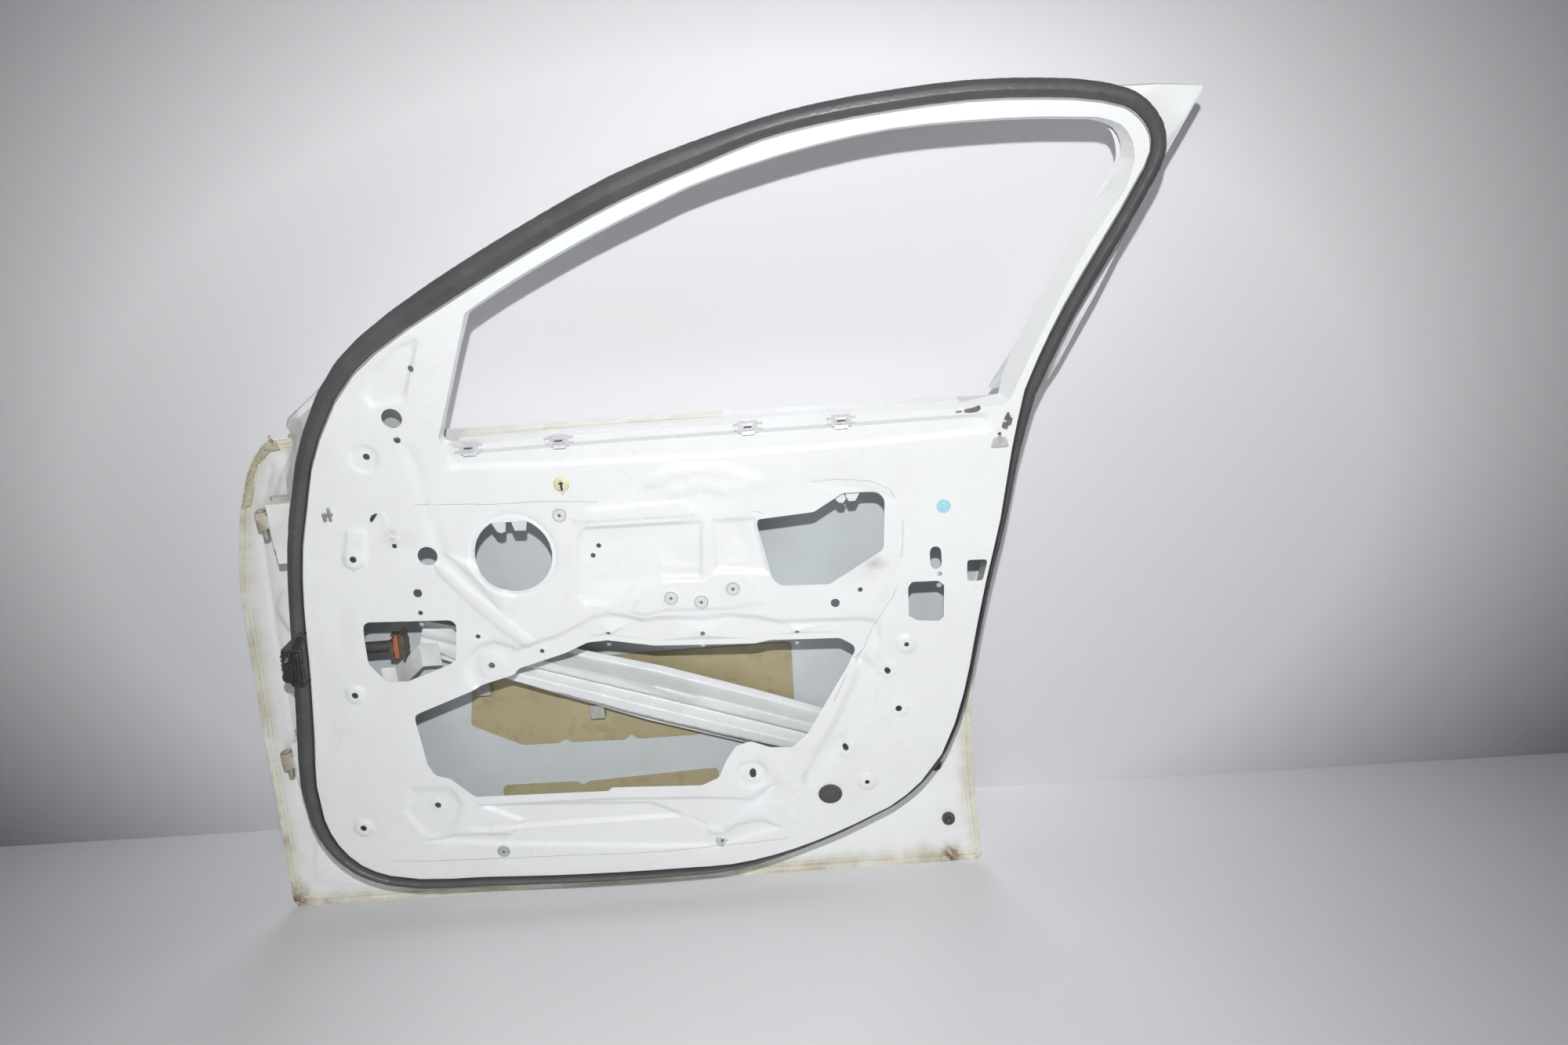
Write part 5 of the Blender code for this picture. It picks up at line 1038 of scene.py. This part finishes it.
place, out = land_place(*node_middle("plug_blue"))
plug = Shape().turned(run(9.2, -0.2, 9.2, 0.8, 8.6, 1.5, 7.2, 1.6, 6.6, 1.1, 6, 1.2, 3, 1.5, 0,
        1.6), sides=36)
plug.piece("plug_blue_finished", place, out, "blue", "blue", "plug_blue", 0.0)
place, out = land_place(*node_middle("plug_oval"))
plug = Shape().turned(run(16.5, -0.2, 16.8, 1, 15.8, 2.2, 14, 2.4, 13.2, 1.2, 10, 0.8, 9.4, 1.6,
        8.2, 1.7, 7.6, 0.9, 0, 1.1), sides=44, squash=0.90)
plug.piece("plug_oval_finished", place, out, "rubber", "rubber", "plug_oval", 0.0)
for number in (1, 2):
    name = f"bump_stop_{number}"
    low, high = (Vector(corner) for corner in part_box(name))
    middle = Vector(((low.x + high.x) / 2, high.y - 0.0010, (low.z + high.z) / 2))
    stop = Shape().turned(run(9.6, 0, 9.8, 3, 9.2, 6.2, 8, 7.4, 6.2, 7.4, 5.6, 5.8, 3.4, 5.6, 3,
            8.4, 2.2, 9.2, 0, 9.3), sides=30)
    for turn in range(5):
        angle = math.tau * turn / 5
        spot = (0.0044 * math.cos(angle), 0.0044 * math.sin(angle))
        stop.turned(run(0.9, 5, 0.9, 7.2, 0, 7.5), spot, 8)
    stop.piece(name + "_finished", middle, INBOARD, "rubber", "rubber", name, 0.0)

# Trim clips and their remnants

place, out = land_place(*node_middle("trim_clip_front"))
clip = Shape().block((-0.0062, -0.0085, 0.0), (-0.0022, 0.0030, 0.0046))
clip.block((0.0012, -0.0085, 0.0), (0.0050, 0.0095, 0.0046))
clip.block((-0.0024, -0.0030, 0.0004), (0.0014, 0.0016, 0.0038))
clip.block((-0.0074, -0.0030, 0.0), (-0.0060, 0.0016, 0.0030))
clip.block((0.0048, -0.0020, 0.0), (0.0070, 0.0018, 0.0030))
clip.piece("trim_clip_front_finished", place, out, "zinc", "steel", "trim_clip_front", 0.0004)
place, out = land_place(*node_middle("trim_clip_rear"))
clip = Shape().plate(run(-11, -9, 11, -9, 7.8, 2.2, -7.8, 2.2), 0.0003, 0.0014, -0.22)
clip.block((-0.0110, -0.0096, 0.0003), (0.0110, -0.0084, 0.0048))
clip.block((-0.0022, -0.0060, 0.0010), (0.0022, 0.0070, 0.0042))
clip.piece("trim_clip_rear_finished", place, out, "grey_plastic", "plastic", "trim_clip_rear",
           0.0005)
tip = Shape().block((-0.0018, 0.0066, 0.0012), (0.0018, 0.0092, 0.0040))
tip.piece("trim_clip_rear_tip", place, out, "plastic", "plastic", None, 0.0004)
place, out = land_place(*node_middle("trim_clip_pillar"))
clip = Shape()
for _ in range(11):
    u = rng.uniform(-0.0045, 0.0035)
    v = rng.uniform(-0.0100, 0.0085)
    u += 0.25 * v
    size = rng.uniform(0.0014, 0.0034, 2)
    clip.block((u - size[0], v - size[1], -0.0002), (u + size[0], v + size[1],
                                                     rng.uniform(0.0012, 0.0046)))
clip.piece("trim_clip_pillar_finished", place, out, "grey_dark", "plastic", "trim_clip_pillar",
           0.0003, turn=-0.35)
place, out = land_place(1.0535, 0.7040)
clip = Shape().plate(run(-10, -1.4, -3, -3.4, 7, -3.2, 11.5, 0.4, 10, 4.6, 2, 2.2, -8.5, 1.4),
        0.0, 0.0030)
clip.block((-0.0200, -0.0018, 0.0), (-0.0125, 0.0002, 0.0014))
clip.piece("waist_rail_end_clip", place, out, "grey_dark", "plastic", None, 0.0005, turn=0.06)

# Harness boot and connector

boot_place = to_row(0.1140, 0.0, 0.4280)
boot = Shape().block((0.0050, -0.0300, -0.0300), (0.0240, 0.0220, 0.0130))
boot.turned(run(10.5, -20, 11.8, 6, 9.5, 10.5, 0, 12), (0.0145, -0.0310), 20, 0.55)
boot.plate(run(9, 20, 22.5, 20, 26.5, 40, 23.5, 46, 17, 38), -0.0120, 0.0110)
boot.block((-0.0080, -0.0230, -0.0420), (0.0060, 0.0170, 0.0030))
boot.turned(run(8.5, -20, 9.8, -2, 8, 1, 0, 2), (-0.0020, -0.0270), 20, 0.9)
boot.block((-0.0110, -0.0170, -0.0300), (-0.0070, 0.0120, -0.0020))
boot.block((0.0070, -0.0260, 0.0120), (0.0105, 0.0180, 0.0160))
boot.block((0.0165, -0.0260, 0.0120), (0.0205, 0.0180, 0.0154))
boot.block((-0.0070, 0.0120, 0.0010), (0.0060, 0.0170, 0.0060))
boot.piece("harness_boot_finished", boot_place, INBOARD, "boot", "rubber", "harness_boot",
           0.0020, turn=-0.12)
latch = Shape().plate(run(-5, -3, 3.5, 1, 0, 8), 0.0024, 0.0046)
for step in range(4):
    latch.block((-0.0118, -0.0170 + 0.0065 * step, -0.0060),
                (-0.0080, -0.0135 + 0.0065 * step, -0.0010))
latch.piece("harness_boot_latch", boot_place, INBOARD, "grey_dark", "rubber", None, 0.0004,
            turn=-0.10)

connector_place = to_row(0.2560, 0.034, 0.4240)
flange = Shape().block((-0.0097, -0.0105, -0.0120), (-0.0037, 0.0105, 0.0120))
outline = []
for tooth in range(22):
    angle = math.tau * tooth / 22
    reach = 1.0 if tooth % 2 else 0.84
    outline.append((0.0075 + 0.0046 * reach * math.cos(angle), 0.0240 * reach * math.sin(angle)))
flange.plate(outline, -0.0110, 0.0100)
flange.block((0.0020, -0.0330, -0.0030), (0.0060, -0.0220, 0.0030))
flange.block((-0.0080, 0.0150, -0.0060), (0.0040, 0.0190, 0.0060))
flange.piece("connector_flange_finished", connector_place, INBOARD, "dirty_plastic", "plastic",
             "connector_flange", 0.0007, turn=-0.06)
lock = Shape().block((-0.0034, -0.0155, -0.0060), (0.0030, 0.0150, 0.0115))
lock.block((-0.0026, 0.0130, -0.0040), (0.0022, 0.0180, 0.0095))
lock.block((-0.0040, -0.0040, 0.0100), (0.0034, 0.0040, 0.0125))
lock.piece("connector_lock_finished", connector_place, INBOARD, "orange", "orange",
           "connector_lock", 0.0008, turn=-0.06)

# Tabs behind the openings and punched forms

tabs = Shape()
for outline in (run(-23.5, 47, -3, 48, -8, 30, -15, 27.5, -19.5, 31), run(3, 48, 24, 44, 19, 29,
        4, 30)):
    tabs.plate(outline, -0.0022, -0.0012, 0.50)
tabs.block((-0.0260, 0.0455, -0.0024), (0.0260, 0.0580, -0.0010))
place = to_row(SPEAKER_HOLE[0], 0.0, SPEAKER_HOLE[1])
tabs.piece("speaker_tabs", place, INBOARD, "paint", "paint", None, 0.0005)
bracket = Shape()
for outline in (run(-33.5, 24, -25, 24, -19.5, 5, -24, -1, -30, 0.5, -37, 11), run(-18, 24, -3,
        24, -2, 11, -7.5, 1, -16, 1, -20, 9), run(0, 24, 32, 24, 31, 6, 16, 11, 0, 15)):
    bracket.plate(outline, -0.0075, -0.0065, 0.22)
bracket.plate(run(-37, 34, 33, 34, 33, 22.5, -37, 22.5), -0.0024, -0.0014, 0.45)
bracket.piece("rear_opening_bracket", to_row(0.9080, 0.0, 0.5880), INBOARD, "paint", "paint",
              None, 0.0005)
place, out = land_place(0.2835, 0.6195)
lip = Shape().plate(run(-5, 9, -2, 10.5, 3, 8, 4.8, 1, 3, -7, -1, -10, -4, -8, -1, -1), 0.0,
        0.0016)
lip.piece("slit_lip", place, out, "paint", "paint", None, 0.0006)
place, out = land_place(0.2905, 0.5905)
punched = Shape()
for u, v, turned in ((-0.0060, 0.0020, 0.5), (0.0010, 0.0035, -0.3), (0.0060, -0.0010, 0.9)):
    ahead = Vector((math.cos(turned), math.sin(turned))) * 0.0045
    aside = Vector((-ahead.y, ahead.x)) * 0.34
    corners = [Vector((u, v)) + one * ahead + two * aside
               for one, two in ((-1, -1), (1, -1), (1, 1), (-1, 1))]
    punched.plate([tuple(corner) for corner in corners], -0.0002, 0.0022)
punched.piece("punched_tabs", place, out, "paint", "paint", None, 0.0004)

SEALER_LINES = [
    run(328.5, 635.2, 372, 632, 430, 627, 490, 626, 540, 621.5, 574, 618.3),
    run(845.3, 622.7, 868, 624.5, 897, 622.5, 925, 616.5, 945, 605, 954.7, 587),
    run(960, 560, 959, 535, 957.4, 523.7, 955.6, 510.9, 950, 509.5),
    run(883.2, 357.4, 899, 385, 913.3, 413.1, 928, 437, 942.1, 456.3, 950, 478),
    run(195.6, 101.2, 260, 97.5, 346.2, 94.8, 480.6, 90.9, 540, 88, 605.4, 87.8, 764.4, 95, 776,
        99.3),
    run(851.7, 306.6, 864, 332, 876.4, 352.1), run(883.8, 366.8, 899.5, 379.5),
    run(778.9, 585.4, 770, 589, 760, 588),
    run(270, 705, 285, 712),
]
lines = Shape()
for line in SEALER_LINES:
    spots = []
    for (ax, az), (bx, bz) in zip(line, line[1:]):
        steps = max(2, int(math.hypot(bx - ax, bz - az) / 0.006))
        for share in np.linspace(0, 1, steps, endpoint=False):
            wander = rng.normal(0, 0.00035, 2)
            place, out = land_place(ax + share * (bx - ax) + wander[0],
                                    az + share * (bz - az) + wander[1])
            if place and out.y < -0.5:
                spots.append(tuple(place + out * 0.00005))
    if len(spots) > 2:
        lines.rod(spots, 0.00032, 6)
lines_piece = make_piece("sealer_lines", lines.points, lines.faces, "sealer")
softened(lines_piece, 0.0)

# Foam strip along the upper front hem

strip_route = sorted((panel_points[corner] for corner in outer_loop
                      if panel_points[corner][0] + DOOR_ORIGIN[0] < 0.135
                      and 0.622 < panel_points[corner][2] + DOOR_ORIGIN[2] < 0.722),
                     key=lambda spot: spot[2])
strip_rows = []
for number, spot in enumerate(strip_route):
    before = Vector(strip_route[max(number - 2, 0)])
    after = Vector(strip_route[min(number + 2, len(strip_route) - 1)])
    ahead = (after - before).normalized()
    inner_way = Vector((ahead.z, 0, -ahead.x))
    if inner_way.x < 0:
        inner_way = -inner_way
    share = number / (len(strip_route) - 1)
    breadth = 0.0105 + 0.0020 * math.sin(9 * share) + rng.normal(0, 0.0005)
    if share > 0.95 or share < 0.03:
        breadth *= 0.6
    row = []
    for across, rise in ((0.0, 0.0), (0.06, 0.7), (0.3, 1.0), (0.6, 0.92), (0.92, 0.65),
                         (1.0, 0.0)):
        lift = 0.0028 * rise * (1 + rng.normal(0, 0.10))
        row.append(Vector(spot) + inner_way * (0.0008 + across * breadth)
                   + Vector((0, -0.0016 - lift, 0)))
    strip_rows.append(row)
strip = Shape()
wide = len(strip_rows[0])
cells = [tuple(spot) for row in strip_rows for spot in row]
quads = ring_faces(len(strip_rows), wide)
quads.append(tuple(range(wide)))
quads.append(tuple(range(len(cells) - 1, len(cells) - wide - 1, -1)))
strip.add(cells, quads)
strip_piece = make_piece("foam_strip_finished", strip.points, strip.faces, "foam_dirty",
                         "foam_strip", 50.0)
softened(strip_piece, 0.0)

# Floor and wall


def stage_plane(name, corners, tint, painted_shade_tint, middle, reach, full):
    """A stage plane with a painted pool of light: its tint falls to a darker tint of painted shade
    away from a middle place.
    """
    mesh = bpy.data.meshes.new(name)
    mesh.from_pydata([Vector(corner) for corner in corners], [], [(0, 1, 2, 3)])
    plane = bpy.data.objects.new(name, mesh)
    bpy.context.scene.collection.objects.link(plane)
    look = Look(name + "_paint", 0.75)
    mapping = look.add("ShaderNodeMapping")
    mapping.inputs["Location"].default_value = [-m / r for m, r in zip(middle, reach)]
    mapping.inputs["Scale"].default_value = [1 / r for r in reach]
    look.link(look.place, mapping.inputs["Vector"])
    light_pool_field = look.add("ShaderNodeTexGradient", gradient_type="SPHERICAL")
    look.link(mapping.outputs["Vector"], light_pool_field.inputs["Vector"])
    # Painted light: the tint is bright in the middle and falls to painted shade towards the edges
    base = look.mix(look.ramp(light_pool_field.outputs["Fac"], 0.0, full), painted_shade_tint, tint)
    look.color(look.mix(look.ramp(look.noise(1.5, 3.0), 0.3, 0.7, 0.0, 0.05), base,
                        tuple(0.8 * c for c in tint)))
    mesh.materials.append(look.material)
    return plane, look


# The wall's foot behind the middle of the door, its turn, its top and how far that leans
WALL_FOOT = 0.220
WALL_MIDDLE = 0.63
WALL_TURN = -0.0164
WALL_TOP = 1.6
WALL_LEAN = 0.32
REACH = 6.0
foot_left = WALL_FOOT - (REACH + WALL_MIDDLE) * WALL_TURN
foot_right = WALL_FOOT + (REACH - WALL_MIDDLE) * WALL_TURN
# Floor and wall are painted lighter near the door and darker away from it, a painted pool of light
stage_plane("floor", [(x, y, FLOOR_HEIGHT) for x, y in (
                (-REACH, -REACH), (REACH, -REACH), (REACH, REACH), (-REACH, REACH))],
            (0.77, 0.77, 0.785), (0.33, 0.335, 0.35), (0.50, 0.2, FLOOR_HEIGHT),
            (1.38, 2.6, 9.0), 0.75)
wall, wall_look = stage_plane(
    "wall", [(-REACH, foot_left, FLOOR_HEIGHT), (REACH, foot_right, FLOOR_HEIGHT),
             (REACH, foot_right - WALL_LEAN, WALL_TOP),
             (-REACH, foot_left - WALL_LEAN, WALL_TOP)],
    (0.725, 0.725, 0.74), (0.098, 0.102, 0.11), (0.58, 0.2, -0.08), (1.64, 9.0, 1.08), 0.42)
# The back of the wall lets the other views and the lamp behind it through
wall.visible_shadow = False
see_through = wall_look.add("ShaderNodeBsdfTransparent")
both = wall_look.add("ShaderNodeMixShader")
wall_look.link(wall_look.add("ShaderNodeNewGeometry").outputs["Backfacing"], both.inputs["Fac"])
wall_look.link(wall_look.shader.outputs["BSDF"], both.inputs[1])
wall_look.link(see_through.outputs["BSDF"], both.inputs[2])
wall_look.link(both.outputs["Shader"],
               wall_look.tree.nodes["Material Output"].inputs["Surface"])

# Camera and light


def camera_axes():
    forward = Vector((math.sin(CAMERA_YAW), math.cos(CAMERA_YAW), 0))
    right = Vector((math.cos(CAMERA_YAW), -math.sin(CAMERA_YAW), 0))
    up = Vector((0, 0, 1))
    ahead = forward * math.cos(CAMERA_PITCH) - up * math.sin(CAMERA_PITCH)
    above = up * math.cos(CAMERA_PITCH) + forward * math.sin(CAMERA_PITCH)
    side = right * math.cos(CAMERA_ROLL) - above * math.sin(CAMERA_ROLL)
    top = right * math.sin(CAMERA_ROLL) + above * math.cos(CAMERA_ROLL)
    return side, top, ahead


side, top, ahead = camera_axes()
turn = Matrix((side, top, -ahead)).transposed().to_4x4()
lens = bpy.data.cameras.new("camera")
lens.sensor_fit = "HORIZONTAL"
lens.sensor_width = SENSOR_WIDTH
lens.lens = FOCAL_LENGTH
camera = bpy.data.objects.new("camera", lens)
camera.matrix_world = Matrix.Translation(CAMERA_PLACE) @ turn
bpy.context.scene.collection.objects.link(camera)
bpy.context.scene.camera = camera


def area_light(name, place, target, size, power, tint):
    data = bpy.data.lights.new(name, "AREA")
    data.shape = "DISK"
    data.size = size
    data.energy = power
    data.color = tint
    light = bpy.data.objects.new(name, data)
    light.location = place
    light.rotation_euler = (Vector(target) - Vector(place)).to_track_quat("-Z", "Y").to_euler()
    bpy.context.scene.collection.objects.link(light)


# Name, place, target, width in metres, watts and tint of each lamp
COOL = (0.98, 0.99, 1.0)
FLASH_PLACE = Vector(CAMERA_PLACE) + Vector((0.020, 0.0, 0.240))
for lamp in (("flash", FLASH_PLACE, (0.60, 0.05, 0.0), 0.030, 24.7, (1.0, 1.0, 1.0)),
             ("fill_low", (0.25, -2.3, 0.25), (0.45, 0, -0.35), 1.3, 4.0, COOL),
             ("fill_right", (2.8, -1.6, 1.8), (0.6, 0, 0), 1.2, 2.5, COOL),
             ("back_fill", (0.3, 3.2, 1.0), (0.5, 0, -0.1), 2.2, 44.0, COOL)):
    area_light(*lamp)

# The world is pale where it is seen or mirrored and dim where it lights the door
world = bpy.data.worlds.new("studio")
world.use_nodes = True
nodes = world.node_tree.nodes
links = world.node_tree.links
path = nodes.new("ShaderNodeLightPath")
shown = path.outputs["Is Camera Ray"]
for name in ("Is Glossy Ray", "Is Transmission Ray"):
    either = nodes.new("ShaderNodeMath")
    either.operation = "MAXIMUM"
    links.new(shown, either.inputs[0])
    links.new(path.outputs[name], either.inputs[1])
    shown = either.outputs[0]
mixed = nodes.new("ShaderNodeMixShader")
links.new(shown, mixed.inputs["Fac"])
for socket, back, tint, strength in (
        (1, nodes["Background"], (0.95, 0.97, 1.0, 1.0), 0.15),
        (2, nodes.new("ShaderNodeBackground"), (0.95, 0.96, 1.0, 1.0), 0.72)):
    back.inputs["Color"].default_value = tint
    back.inputs["Strength"].default_value = strength
    links.new(back.outputs[0], mixed.inputs[socket])
links.new(mixed.outputs[0], nodes["World Output"].inputs["Surface"])
bpy.context.scene.world = world
bpy.context.scene.view_settings.view_transform = "Standard"
